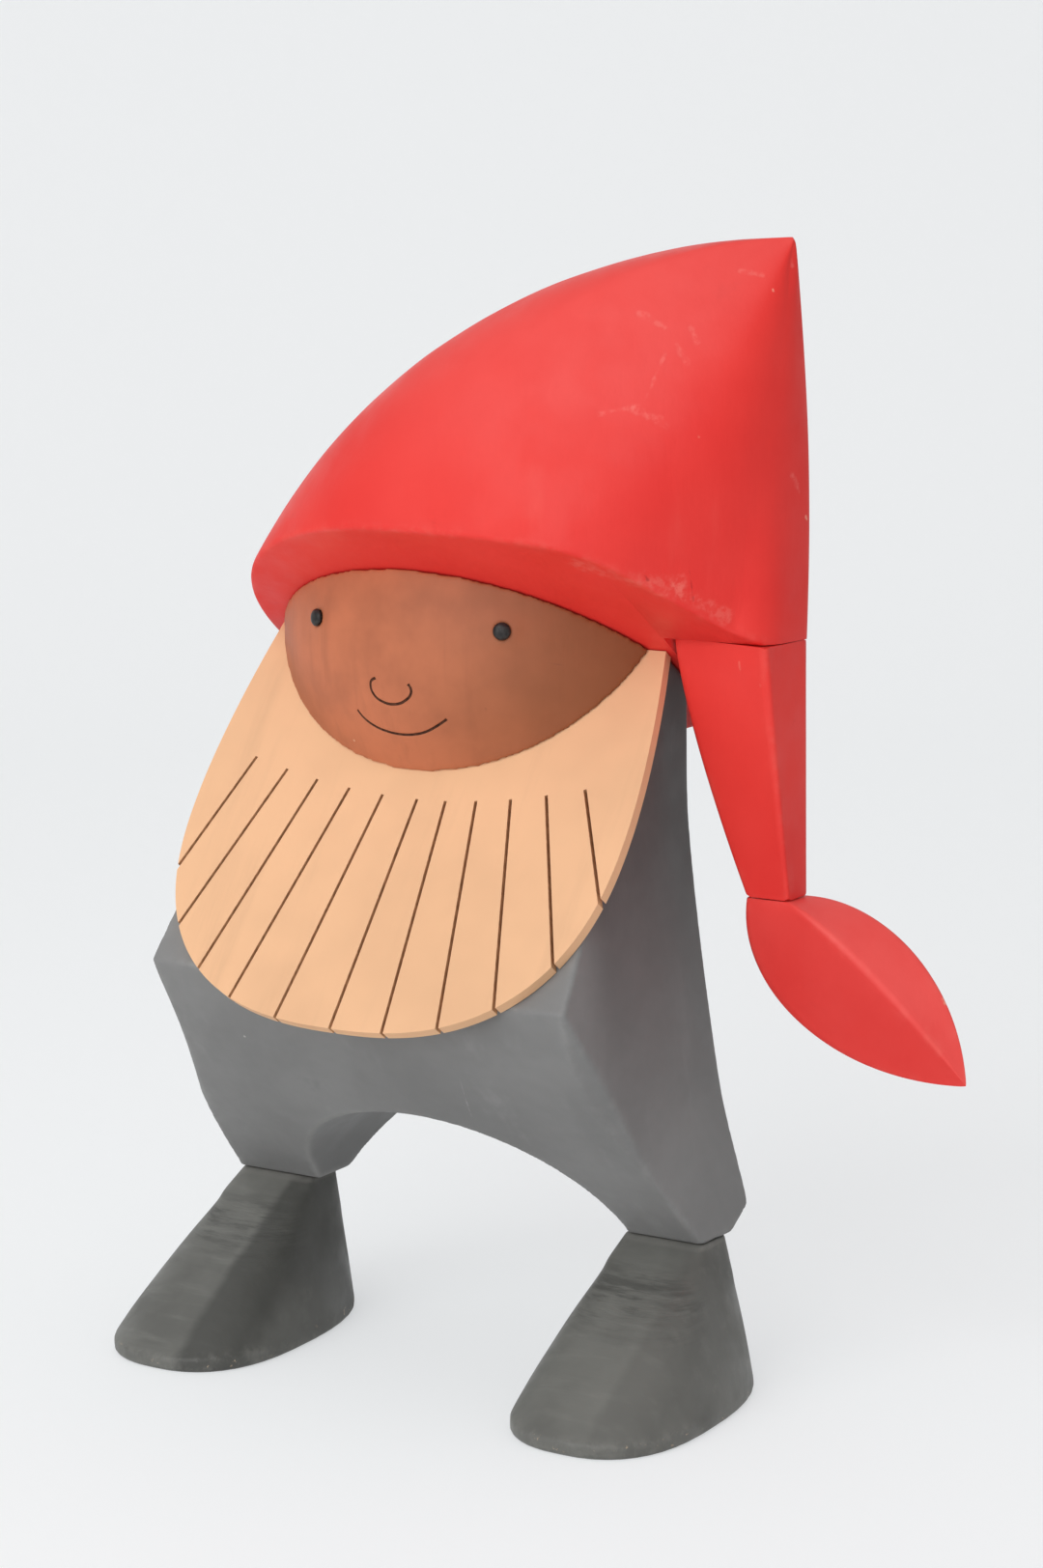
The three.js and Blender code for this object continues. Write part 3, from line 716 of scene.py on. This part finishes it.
TAIL_NECK_CORNERS = np.array([(131.8, -58.8), (151.8, -58.8), (152, -42.8), (133, -42.8)])
TAIL_TOP_CORNERS += TO_MIDDLE[:2]
TAIL_NECK_CORNERS += TO_MIDDLE[:2]
TASSEL_TIP = np.array((228.5, -50.8, 143.8)) + TO_MIDDLE
TASSEL_PULLS = (
    ((122, -54, 172), (165, -48, 135)),
    ((172, -68, 208), (206, -66, 180)),
    ((184, -40, 215), (224, -46, 190)),
    ((150, -34, 196), (196, -36, 168)),
)


# How the skins are divided: points round the crown's back, far side and front, and on a side of
# tail and tassel; then the crown's rings, as steps in from the brim on its underside and as widths
# over the brim's arris, up the dome and at the tip.
BACK_POINTS, FAR_POINTS, FRONT_POINTS = 70, 150, (36, 30, 28, 16, 12)
TAIL_SIDE, TASSEL_SIDE = 22, 18
UNDERSIDE_STEPS = (9.0, 6.0, 4.0, 2.6, 1.6, 0.8)
ARRIS_WIDTHS, TIP_WIDTHS = (1, 0.9985, 0.997, 0.994, 0.99, 0.985), (0.01, 0.007, 0.0045, 0.0025)
DOME_FROM, DOME_RINGS = 0.978, 104
# The crown is sanded from this far off an arris, and fully over this much more
SANDED_FROM, SANDED_OVER = 0.003, 0.012
# Where light is painted on the crown's top: points round the crown, and heights in metres
PAINTED_LIGHT_FROM, PAINTED_LIGHT_TO, PAINTED_LIGHT_HEIGHT = (20, 70), (250, 285), (0.37, 0.45)


def crown_outline(front):
    """An outline in the brim's plane, from the outer edge round the back and on along a front."""
    back_m = BRIM_MIDDLE - BRIM_BACK
    angle = -math.pi / 2 - np.pi * np.arange(FAR_POINTS)[:, None] / FAR_POINTS
    depth = np.where(np.sin(angle) < 0, BRIM_BACK, BRIM_FRONT)
    far_side = np.hstack([BRIM_HALF * np.cos(angle), BRIM_MIDDLE + depth * np.sin(angle)])
    back = bezier([BRIM_SIDE, BRIM_BACK_PULL, (0.6 * BRIM_HALF, back_m), (0, back_m)], BACK_POINTS)
    return np.vstack([back, far_side, front])


def cornered_front(flank_point, turn, turn_end):
    """A front with an eased corner, then a straight flank and a turn to the outer edge."""
    middle = np.array((0, BRIM_MIDDLE + BRIM_FRONT))
    before = BRIM_CORNER + (middle - BRIM_CORNER) * BRIM_CORNER_EASE
    after = BRIM_CORNER + (BRIM_FLANK - BRIM_CORNER) * BRIM_CORNER_EASE
    parts = (
        [middle, (0.4 * BRIM_CORNER[0], middle[1]), before],
        [before, BRIM_CORNER, after],
        [after, flank_point],
        [flank_point, turn, turn_end],
        [turn_end, BRIM_SIDE],
    )
    return np.vstack([bezier(part, count) for part, count in zip(parts, FRONT_POINTS)])


def crown_rings():
    """Rings from the brim's flat underside over its arris and up to just below the tip."""
    outline = crown_outline(cornered_front(BRIM_FLANK, BRIM_TURN, BRIM_TURN_END))
    upper = crown_outline(cornered_front(UPPER_FLANK, UPPER_TURN, UPPER_TURN_END))
    middle = (0, BRIM_MIDDLE + BRIM_FRONT)
    rounded = crown_outline(bezier([middle, *ROUNDED_PULLS, BRIM_SIDE], sum(FRONT_POINTS)))
    ahead = np.roll(outline, -1, 0) - np.roll(outline, 1, 0)
    inward = np.stack([ahead[:, 1], -ahead[:, 0]], 1) / np.linalg.norm(ahead, axis=1)[:, None]
    base = np.array(SLOPE_FOOT + UP_SLOPE * BRIM_HEIGHT * MM) / MM

    def place(flat):
        return base + flat[:, :1] * np.array(ACROSS) + flat[:, 1:] * np.array(OUT_OF_SLOPE)

    rings = [place(outline + inward * step) for step in UNDERSIDE_STEPS]
    edge = place(BRIM_SIDE[None])[0]
    flank = smooth_step(outline[:, 0], FLANK_START, FLANK_END)
    across_flank = np.clip((outline[:, 1] - BRIM_SIDE[1]) / (RIDGE_FRONT - BRIM_SIDE[1]), 0, 1)
    ridge = flank * np.sin(across_flank * math.pi / 2)
    start = math.sin(CROWN_ARC_START)
    dome = np.cos(np.linspace(math.acos(DOME_FROM), math.pi / 2, DOME_RINGS, endpoint=False))
    for width in (*ARRIS_WIDTHS, *dome, *TIP_WIDTHS):
        arc = (math.sqrt(1 - (width * math.cos(CROWN_ARC_START)) ** 2) - start) / (1 - start)
        height = arc + (1 - width - arc) * flank
        swell = np.sin(np.pi * height)
        flat = outline + (rounded - outline) * smooth_step(height, 0, ROUNDED_FROM)[:, None]
        flat += (upper - flat) * smooth_step(height, *CORNERED_FROM)[:, None]
        brim = place(flat)
        ring = edge + (CROWN_TIP - edge) * height[:, None] + (brim - edge) * width
        ring[:, 0] += (SIDE_SWELL * flank + RIDGE_SWELL[0] * ridge) * swell
        ring[:, 1] += RIDGE_SWELL[1] * ridge * swell
        ring[:, 2] = brim[:, 2] + (CROWN_TIP[2] - brim[:, 2]) * height
        rings.append(ring)
    return np.array(rings) * MM


def cornered(name, lines, side, radius, rounds, tip=None):
    """A four-cornered piece between corner lines, with this many points to a side.

    Its arrises are eased over a radius, in this many rounds."""
    share = np.arange(side)[None, :, None] / side
    sides = [a[:, None] + (b - a)[:, None] * share for a, b in zip(lines, lines[1:] + lines[:1])]
    arrises = tree_of([Vector(p) for line in lines for p in line])
    mesh = loft(name, np.concatenate(sides, axis=1), tip)
    finish_surface(mesh, eased(mesh, arrises, radius, rounds), arrises)
    mesh.set_sharp_from_angle(angle=math.radians(50))
    return mesh


class NISSE_OT_hat(bpy.types.Operator):
    """Carves the crown, the hanging tail and the tassel"""

    bl_idname = "nisse.hat"
    bl_label = "Hat"

    def execute(self, context):
        paint = red_paint()
        for name, build in (("crown", self.crown), ("tail", self.tail), ("tassel", self.tassel)):
            add_piece("carved_hat_" + name, build(), "red_paint", ["hat_" + name], paint)
        return {"FINISHED"}

    def crown(self):
        rings = crown_rings()
        mesh = loft("carved_hat_crown", rings, CROWN_TIP * MM)
        under = len(UNDERSIDE_STEPS)
        brim = rings[under]
        pairs = [(Vector(a), Vector(b)) for a, b in zip(brim, np.roll(brim, -1, 0))]
        arris = [a.lerp(b, k / 6) for a, b in pairs for k in range(6)]
        outer_edge = [Vector(p) for p in rings[under:, 0]]
        arrises = tree_of(arris + outer_edge)
        co, edges = points_and_edges(mesh)
        open_ground = np.clip((gaps_to(arrises, co) - SANDED_FROM) / SANDED_OVER, 0, 1)
        open_ground[: under * rings.shape[1]] = 0
        co = relax(co, edges, GROUND_SHARE * open_ground, 20)
        to_tip = np.linalg.norm(co - CROWN_TIP * MM, axis=1)
        co = relax(co, edges, ARRIS_SHARE * np.exp(-((to_tip / ARRIS_EASE) ** 2)), 30)
        move(mesh, co)
        co = eased(mesh, arrises, 0.0018, 16)
        finish_surface(mesh, co, arrises)
        # Painted light on the crown's top, away from the flank
        around = np.arange(len(co)) % rings.shape[1]
        off_flank = smooth_step(around, *PAINTED_LIGHT_FROM) * (1 - smooth_step(around, *PAINTED_LIGHT_TO))
        store(mesh, "paled", 0.75 * off_flank * smooth_step(co[:, 2], *PAINTED_LIGHT_HEIGHT))
        return self.cut_shelf(mesh)

    def cut_shelf(self, mesh):
        """Cuts the step that the tail hangs from."""
        beside = Matrix.Translation((SHELF[0] * MM + 0.5, 0, SHELF[1] * MM - 0.5))
        work = bmesh.new()
        bmesh.ops.create_cube(work, size=1, matrix=beside)
        step = bpy.data.meshes.new("shelf_step")
        work.to_mesh(step)
        work.free()
        crown = cut_away(linked("crown_block", mesh), linked("shelf_step", step))
        crown.name = "carved_hat_crown"
        crown.set_sharp_from_angle(angle=math.radians(40))
        return crown

    def tail(self):
        up = np.linspace(0, 1, 80)[:, None]
        narrowed = (1 - up) ** TAIL_EASE
        height = TAIL_NECK + (TAIL_TOP - TAIL_NECK) * up
        lines = []
        for top, neck in zip(TAIL_TOP_CORNERS, TAIL_NECK_CORNERS):
            x = top[0] + (neck[0] - top[0]) * narrowed
            y = top[1] + (neck[1] - top[1]) * (1 - up)
            lines.append(np.hstack([x, y, height]) * MM)
        return cornered("carved_hat_tail", lines, TAIL_SIDE, 0.0013, 8)

    def tassel(self):
        lines = [
            bezier([(*neck, TASSEL_TOP), *(np.array(pulls) + TO_MIDDLE), TASSEL_TIP], 96) * MM
            for neck, pulls in zip(TAIL_NECK_CORNERS, TASSEL_PULLS)
        ]
        tip = TASSEL_TIP * MM
        mesh = cornered("carved_hat_tassel", lines, TASSEL_SIDE, 0.0009, 5, tip)
        # Painted light: full on the tassel's upper face, less on its other faces
        around = np.arange(len(mesh.vertices)) % (4 * TASSEL_SIDE)
        upper_face = (around >= TASSEL_SIDE) & (around <= 2 * TASSEL_SIDE)
        store(mesh, "paled", np.where(upper_face, 1, 0.4))
        return mesh


# The face's middle and directions, and its lines across and up the face, in millimetres
FACE_MIDDLE = Vector((-46.69, -32.47, 285.77)) * MM
FACE_ACROSS = Vector((1.0, -0.00387, 0.00285))
FACE_UP = Vector((-0.00367, -0.23001, 0.97318))
FACE_OUT = Vector((-0.00311, -0.97318, -0.23002))
NOSE = [
    (-10.0, 14.7), (-12.3, 13.4), (-13.0, 11.4), (-11.9, 7.8), (-7.6, 4.9),
    (-1.3, 4.2), (4.3, 6.2), (7.5, 9.7), (7.3, 12.0), (6.3, 13.3),
]
MOUTH = [
    (-22.5, -0.8), (-19.5, -3.8), (-13.7, -6.9), (-7.8, -8.5), (0.0, -9.3),
    (5.8, -8.9), (11.7, -7.4), (17.5, -4.5), (22.3, -1.5),
]


def cut_lines(head, lines, width, material):
    """Cuts shallow round-bottomed lines along the surface of the head."""
    curve = with_settings(
        bpy.data.curves.new("face_lines", "CURVE"),
        dimensions="3D",
        bevel_depth=width / 2,
        bevel_resolution=2,
        use_fill_caps=True,
        resolution_u=6,
    )
    for line in lines:
        spline = curve.splines.new("BEZIER")
        spline.bezier_points.add(len(line) - 1)
        for point, (x, y) in zip(spline.bezier_points, line):
            above = FACE_MIDDLE + (FACE_ACROSS * x + FACE_UP * y) * MM + FACE_OUT * 0.03
            hit, place, _, _ = head.ray_cast(above, -FACE_OUT)
            if not hit:
                raise RuntimeError("a face line misses the head")
            with_settings(point, co=place, handle_left_type="AUTO", handle_right_type="AUTO")
    tube = plain_mesh(linked("face_lines", curve))
    tube.materials.clear()
    tube.materials.append(material)
    return cut_away(head, linked("face_tube", tube), "TRANSFER")


class NISSE_OT_head(bpy.types.Operator):
    """Carves the domed face and burns its nose and mouth lines"""

    bl_idname = "nisse.head"
    bl_label = "Head"

    def execute(self, context):
        stain = face_stain()
        burnt = flecked("burnt_line", 0.75, 0.2, 500, (0.05, 0.018, 0.01), (0.12, 0.045, 0.025))
        mesh = carved("carved_head", "head", 0.0009, 120, 4)
        mesh.materials.append(stain)
        head = linked("carved_head_block", mesh)
        context.view_layer.update()
        cut = cut_lines(head, [NOSE, MOUTH], context.scene.nisse_form.face_line, burnt)
        cut.name = "carved_head"
        add_piece("carved_head", cut, "face_stain", ["head"])
        return {"FINISHED"}


# The beard board, in millimetres across and up the slope, and its saw kerfs: where each starts
# across the board, and the degrees that it leans outward on its way down.
BOARD_BACK, BOARD_HALF, BOARD_SHOULDER, BOARD_DROP, BOARD_TOP = 0.3, 106.9, 79.2, 100.2, 162.1
BOARD_ROUNDNESS, HORN_HALF, HORN_EASE = 2.5, 96.5, 1.7
KERF_TOP, KERF_TOP_RISE, KERF_LENGTH, DOWEL_HOLE = 84.5, 12.0, 160.0, 5.15
KERFS = (
    (-84, -19), (-66, -18.3), (-49, -14.7), (-31.5, -11.8), (-14, -7), (3.5, -1.2),
    (17.5, 4.8), (32, 10.7), (48, 15.7), (64, 22), (81, 26.3),
)


def board_outline():
    """The board's outline from the left shoulder round the bottom and over the top."""
    angle = np.linspace(-math.pi, 0, 150)
    power = 2 / BOARD_ROUNDNESS
    low_x = BOARD_HALF * np.sign(np.cos(angle)) * np.abs(np.cos(angle)) ** power
    low_v = BOARD_SHOULDER - BOARD_DROP * np.abs(np.sin(angle)) ** power
    climb = np.linspace(0.03, 1, 34)
    side_x = BOARD_HALF - (BOARD_HALF - HORN_HALF) * climb**HORN_EASE
    side_v = BOARD_SHOULDER + (BOARD_TOP - BOARD_SHOULDER) * climb
    x = np.concatenate([low_x, side_x, -side_x[::-1]])
    v = np.concatenate([low_v, side_v, side_v[::-1]])
    return np.stack([x, v], 1)


class FormTree(Nodes):
    """A geometry node tree under construction, with named inputs of its own."""

    def __init__(self, name):
        super().__init__(bpy.data.node_groups.new(name, "GeometryNodeTree"))
        self.values = {}
        self.socket("Geometry", "INPUT", "Geometry")
        self.socket("Geometry", "OUTPUT", "Geometry")

    def socket(self, name, way, kind):
        new = self.tree.interface.new_socket
        return new(name, in_out=way, socket_type="NodeSocket" + kind).identifier

    def input(self, name, kind, value):
        self.values[self.socket(name, "INPUT", kind)] = value

    def named(self, name, kind):
        """A value that the mesh holds at each of its points."""
        node = "GeometryNodeInputNamedAttribute"
        return self.add(node, {"Name": name}, data_type=kind)["Attribute"]

    def made(self, piece):
        """What the tree makes of an object, with every input set beforehand."""
        modifier = piece.modifiers.new(self.tree.name, "NODES")
        modifier.node_group = self.tree
        for identifier, value in self.values.items():
            modifier[identifier] = value
        return plain_mesh(piece)


def kerf_tree(form, wood, wall):
    """Saws a slot from every point marked kerf and bores a hole at every point marked hole."""
    t = FormTree("saw_kerfs")
    t.input("Kerf width", "Float", form.kerf_width)
    t.input("Kerf length", "Float", KERF_LENGTH * MM)
    t.input("Cut depth", "Float", form.board_thickness * 3)
    t.input("Hole radius", "Float", DOWEL_HOLE * MM)
    t.input("Wood", "Material", wood)
    t.input("Sawn wall", "Material", wall)
    given = t.add("NodeGroupInput")
    length, depth = given["Kerf length"], given["Cut depth"]
    parts, rest = {}, given["Geometry"]
    for name in ("kerf", "hole"):
        feeds = {"Geometry": rest, "Selection": t.named(name, "BOOLEAN")}
        split = t.add("GeometryNodeSeparateGeometry", feeds, domain="POINT")
        parts[name], rest = split["Selection"], split["Inverted"]

    # The blade hangs down from its point; the bit lies across the board
    size = t.add("ShaderNodeCombineXYZ", {"X": given["Kerf width"], "Y": depth, "Z": length})[0]
    blade = t.add("GeometryNodeMeshCube", {"Size": size})["Mesh"]
    drop = t.add("ShaderNodeCombineXYZ", {"Z": t.times(length, -0.5)})[0]
    hung = t.add("GeometryNodeTransform", {"Geometry": blade, "Translation": drop})["Geometry"]
    feeds = {"Vertices": 32, "Radius": given["Hole radius"], "Depth": depth}
    bit = t.add("GeometryNodeMeshCylinder", feeds)["Mesh"]
    feeds = {"Geometry": bit, "Rotation": (math.pi / 2, 0, 0)}
    laid = t.add("GeometryNodeTransform", feeds)["Geometry"]
    feeds = {"Points": parts["kerf"], "Instance": hung, "Rotation": t.named("turn", "FLOAT_VECTOR")}
    slots = t.add("GeometryNodeInstanceOnPoints", feeds)["Instances"]
    feeds = {"Points": parts["hole"], "Instance": laid}
    bores = t.add("GeometryNodeInstanceOnPoints", feeds)["Instances"]
    both = t.add("GeometryNodeJoinGeometry", {"Geometry": slots})["Geometry"]
    t.feed(both.node.inputs["Geometry"], bores)

    cutters = t.add("GeometryNodeRealizeInstances", {"Geometry": both})["Geometry"]
    feeds = {"Geometry": cutters, "Material": given["Sawn wall"]}
    feeds = {"Mesh 1": rest, "Mesh 2": t.add("GeometryNodeSetMaterial", feeds)["Geometry"]}
    cut = t.add("GeometryNodeMeshBoolean", feeds, operation="DIFFERENCE", solver="EXACT")["Mesh"]
    whole = t.add("GeometryNodeRealizeInstances", {"Geometry": cut})["Geometry"]
    sawn = t.add("GeometryNodeMaterialSelection", {"Material": given["Sawn wall"]})[0]
    plain = t.add("FunctionNodeBooleanMath", {0: sawn}, operation="NOT")[0]
    feeds = {"Geometry": whole, "Selection": plain, "Material": given["Wood"]}
    t.add("NodeGroupOutput", {0: t.add("GeometryNodeSetMaterial", feeds)["Geometry"]})
    return t


class NISSE_OT_beard(bpy.types.Operator):
    """Saws the beard board"""

    bl_idname = "nisse.beard"
    bl_label = "Beard board"

    def execute(self, context):
        form = context.scene.nisse_form
        wood, wall = bare_wood(), sawn_wall()
        to_slope = Matrix.Translation(SLOPE_FOOT) @ Matrix.Rotation(-LEAN, 4, "X")
        blank = self.blank(form.board_thickness, to_slope.inverted())
        blank.materials.append(wood)
        mesh = kerf_tree(form, wood, wall).made(linked("beard_blank", blank))
        mesh.transform(to_slope)
        mesh.name = "sawn_beard"
        beard = add_piece("sawn_beard", mesh, "pale_wood", ["beard_board"])
        bevel = beard.modifiers.new("Bevel", "BEVEL")
        with_settings(bevel, width=0.0004, segments=2, limit_method="ANGLE")
        bevel.angle_limit = math.radians(40)
        return {"FINISHED"}

    def blank(self, thickness, from_world):
        """The uncut board lying upright, with loose points where it is to be sawn and bored."""
        outline = board_outline() * MM
        back = -BOARD_BACK * MM
        rings = np.array([[(x, y, v) for x, v in outline] for y in (back - thickness, back)])
        middle = (len(KERFS) - 1) / 2
        kerfs = [
            (x * MM, back, (KERF_TOP + KERF_TOP_RISE * ((i - middle) / middle) ** 2) * MM)
            for i, (x, _) in enumerate(KERFS)
        ]
        holes = []
        for side in ("left", "right"):
            low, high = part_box("head_dowel_" + side)
            holes.append(tuple(from_world @ ((Vector(low) + Vector(high)) / 2)))
        mesh = loft("beard_blank", rings, None, kerfs + holes)
        for name, kind in (("kerf", "BOOLEAN"), ("hole", "BOOLEAN"), ("turn", "FLOAT_VECTOR")):
            mesh.attributes.new(name, kind, "POINT")
        for i, (_, angle) in enumerate(KERFS, 2 * len(outline)):
            mesh.attributes["kerf"].data[i].value = True
            mesh.attributes["turn"].data[i].vector = (0, -math.radians(angle), 0)
        for i in (-2, -1):
            mesh.attributes["hole"].data[i].value = True
        return mesh


class NISSE_OT_eyes(bpy.types.Operator):
    """Turns the two black eye pegs"""

    bl_idname = "nisse.eyes"
    bl_label = "Eyes"

    def execute(self, context):
        black = flecked("eye_black", 0.4, 0.3, 700, (0.012, 0.011, 0.011), (0.03, 0.028, 0.027))
        carve_pair("turned_eye_", "eye_peg_", "eye_paint", black, 0.0003, 20, 2)
        return {"FINISHED"}


class NISSE_OT_dowels(bpy.types.Operator):
    """Gives the hidden dowels their bare wood"""

    bl_idname = "nisse.dowels"
    bl_label = "Dowels"

    def execute(self, context):
        wood = bare_wood("dowel_wood", (0.68, 0.49, 0.26))
        for name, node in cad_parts.items():
            if "dowel" in name:
                for socket in node.material_slots:
                    socket.link = "OBJECT"
                    socket.material = wood
        return {"FINISHED"}


# The stage in metres and degrees: floor and wall, lamp and camera
FLOOR_FRONT, FLOOR_HALF = -3.0, 4.0
WALL_AT, WALL_CURVE, WALL_TOP, WALL_TURN = 1.6, 0.8, 4.0, 32.47
LAMP_WIDTH, LAMP_PLACE, LAMP_AIM = 2.6, (0.02, -2.16, 1.30), (0, 0, 0.22)
CAMERA_PLACE = (0.8027, -1.2724, 0.5230)
CAMERA_TURNS = ((32.472, "Z"), (90 - 10.081, "X"), (-0.57, "Z"))


class NISSE_OT_stage(bpy.types.Operator):
    """Sets up the pale floor, the soft light and the camera"""

    bl_idname = "nisse.stage"
    bl_label = "Stage"

    def execute(self, context):
        stage = context.scene.nisse_stage
        self.floor(stage)
        self.lamps(stage)
        self.camera(stage)
        context.scene.view_settings.view_transform = "Standard"
        return {"FINISHED"}

    def floor(self, stage):
        """A floor that curves up into a wall, on a strip of profile points."""
        profile = [(FLOOR_FRONT, 0.0), (WALL_AT, 0.0)]
        profile += [
            (WALL_AT + math.sin(a) * WALL_CURVE, WALL_CURVE - math.cos(a) * WALL_CURVE)
            for a in (math.pi / 2 * i / 16 for i in range(1, 17))
        ]
        profile.append((WALL_AT + WALL_CURVE, WALL_TOP))
        places = [(x, y, z) for y, z in profile for x in (-FLOOR_HALF, FLOOR_HALF)]
        faces = [(i, i + 1, i + 3, i + 2) for i in range(0, len(places) - 2, 2)]
        mesh = mesh_of("backdrop", places, faces)
        mesh.transform(Matrix.Rotation(math.radians(WALL_TURN), 4, "Z"))
        mesh.shade_smooth()
        backdrop = linked("backdrop", mesh)
        f = Finish("backdrop_paper", 0.9, 0.1)
        pale = tuple(stage.floor_colour)[:3]
        # The camera sees the paper as paler than it is lit
        path = f.add("ShaderNodeLightPath")
        other = f.math("MAXIMUM", path["Is Glossy Ray"], path["Is Transmission Ray"])
        seen = f.math("MAXIMUM", path["Is Camera Ray"], other)
        f.base = f.mix(f.noise(1.5, 2), darker(pale, 0.985), pale)
        f.lay(f.times(seen, 0.5), (0, 0, 0))
        f.feed(f.shader["Emission Color"], (0.96, 0.98, 1.0, 1))
        f.feed(f.shader["Emission Strength"], f.times(seen, stage.backdrop_lift))
        mesh.materials.append(f.done())

    def lamps(self, stage):
        world = bpy.data.worlds.new("soft_room")
        bpy.context.scene.world = world
        world.use_nodes = True
        t = Nodes(world.node_tree)
        towards = t.add("ShaderNodeTexCoord")["Generated"]
        height = t.add("ShaderNodeSeparateXYZ", {0: towards})["Z"]
        sky = stage.sky_strength
        feeds = {"Value": height, "To Min": sky, "To Max": sky * 1.5}
        background = world.node_tree.nodes["Background"].inputs
        background["Color"].default_value = (1.0, 1.0, 1.0, 1)
        t.feed(background["Strength"], t.add("ShaderNodeMapRange", feeds)[0])
        data = bpy.data.lights.new("window", "AREA")
        with_settings(data, shape="DISK", size=LAMP_WIDTH, energy=stage.key_power)
        lamp = linked("window", data)
        lamp.location = LAMP_PLACE
        aim = Vector(LAMP_AIM) - Vector(LAMP_PLACE)
        lamp.rotation_euler = aim.to_track_quat("-Z", "Y").to_euler()
        lamp.visible_camera = False

    def camera(self, stage):
        data = bpy.data.cameras.new("camera")
        camera = linked("camera", with_settings(data, lens=stage.lens, sensor_width=36))
        camera.matrix_world = Matrix.Translation(CAMERA_PLACE)
        for degrees, axis in CAMERA_TURNS:
            camera.matrix_world @= Matrix.Rotation(math.radians(degrees), 4, axis)
        bpy.context.scene.camera = camera


class NISSE_PT_panel(bpy.types.Panel):
    """Lists the steps that dress the figure"""

    bl_idname = "NISSE_PT_panel"
    bl_label = "Nisse Figure"
    bl_space_type = "VIEW_3D"
    bl_region_type = "UI"
    bl_category = "Nisse"

    def draw(self, context):
        scene = context.scene
        for group in (getattr(scene, name) for name in GROUPS):
            box = self.layout.box()
            for key in group.bl_rna.properties.keys():
                if key not in ("rna_type", "name"):
                    box.prop(group, key)
        for step in STEPS:
            self.layout.operator(step.bl_idname)


STEPS = (
    NISSE_OT_body,
    NISSE_OT_shoes,
    NISSE_OT_head,
    NISSE_OT_beard,
    NISSE_OT_hat,
    NISSE_OT_eyes,
    NISSE_OT_dowels,
    NISSE_OT_stage,
)
GROUPS = {"nisse_form": NisseForm, "nisse_finish": NisseFinish, "nisse_stage": NisseStage}
CLASSES = (*GROUPS.values(), *STEPS, NISSE_PT_panel)


def register():
    for cls in CLASSES:
        bpy.utils.register_class(cls)
    for name, group in GROUPS.items():
        setattr(bpy.types.Scene, name, bpy.props.PointerProperty(type=group))


def unregister():
    for name in GROUPS:
        delattr(bpy.types.Scene, name)
    for cls in reversed(CLASSES):
        bpy.utils.unregister_class(cls)


def main():
    register()
    bpy.ops.nisse.body()
    bpy.ops.nisse.shoes()
    bpy.ops.nisse.head()
    bpy.ops.nisse.beard()
    bpy.ops.nisse.hat()
    bpy.ops.nisse.eyes()
    bpy.ops.nisse.dowels()
    bpy.ops.nisse.stage()


if __name__ == "__main__":
    main()
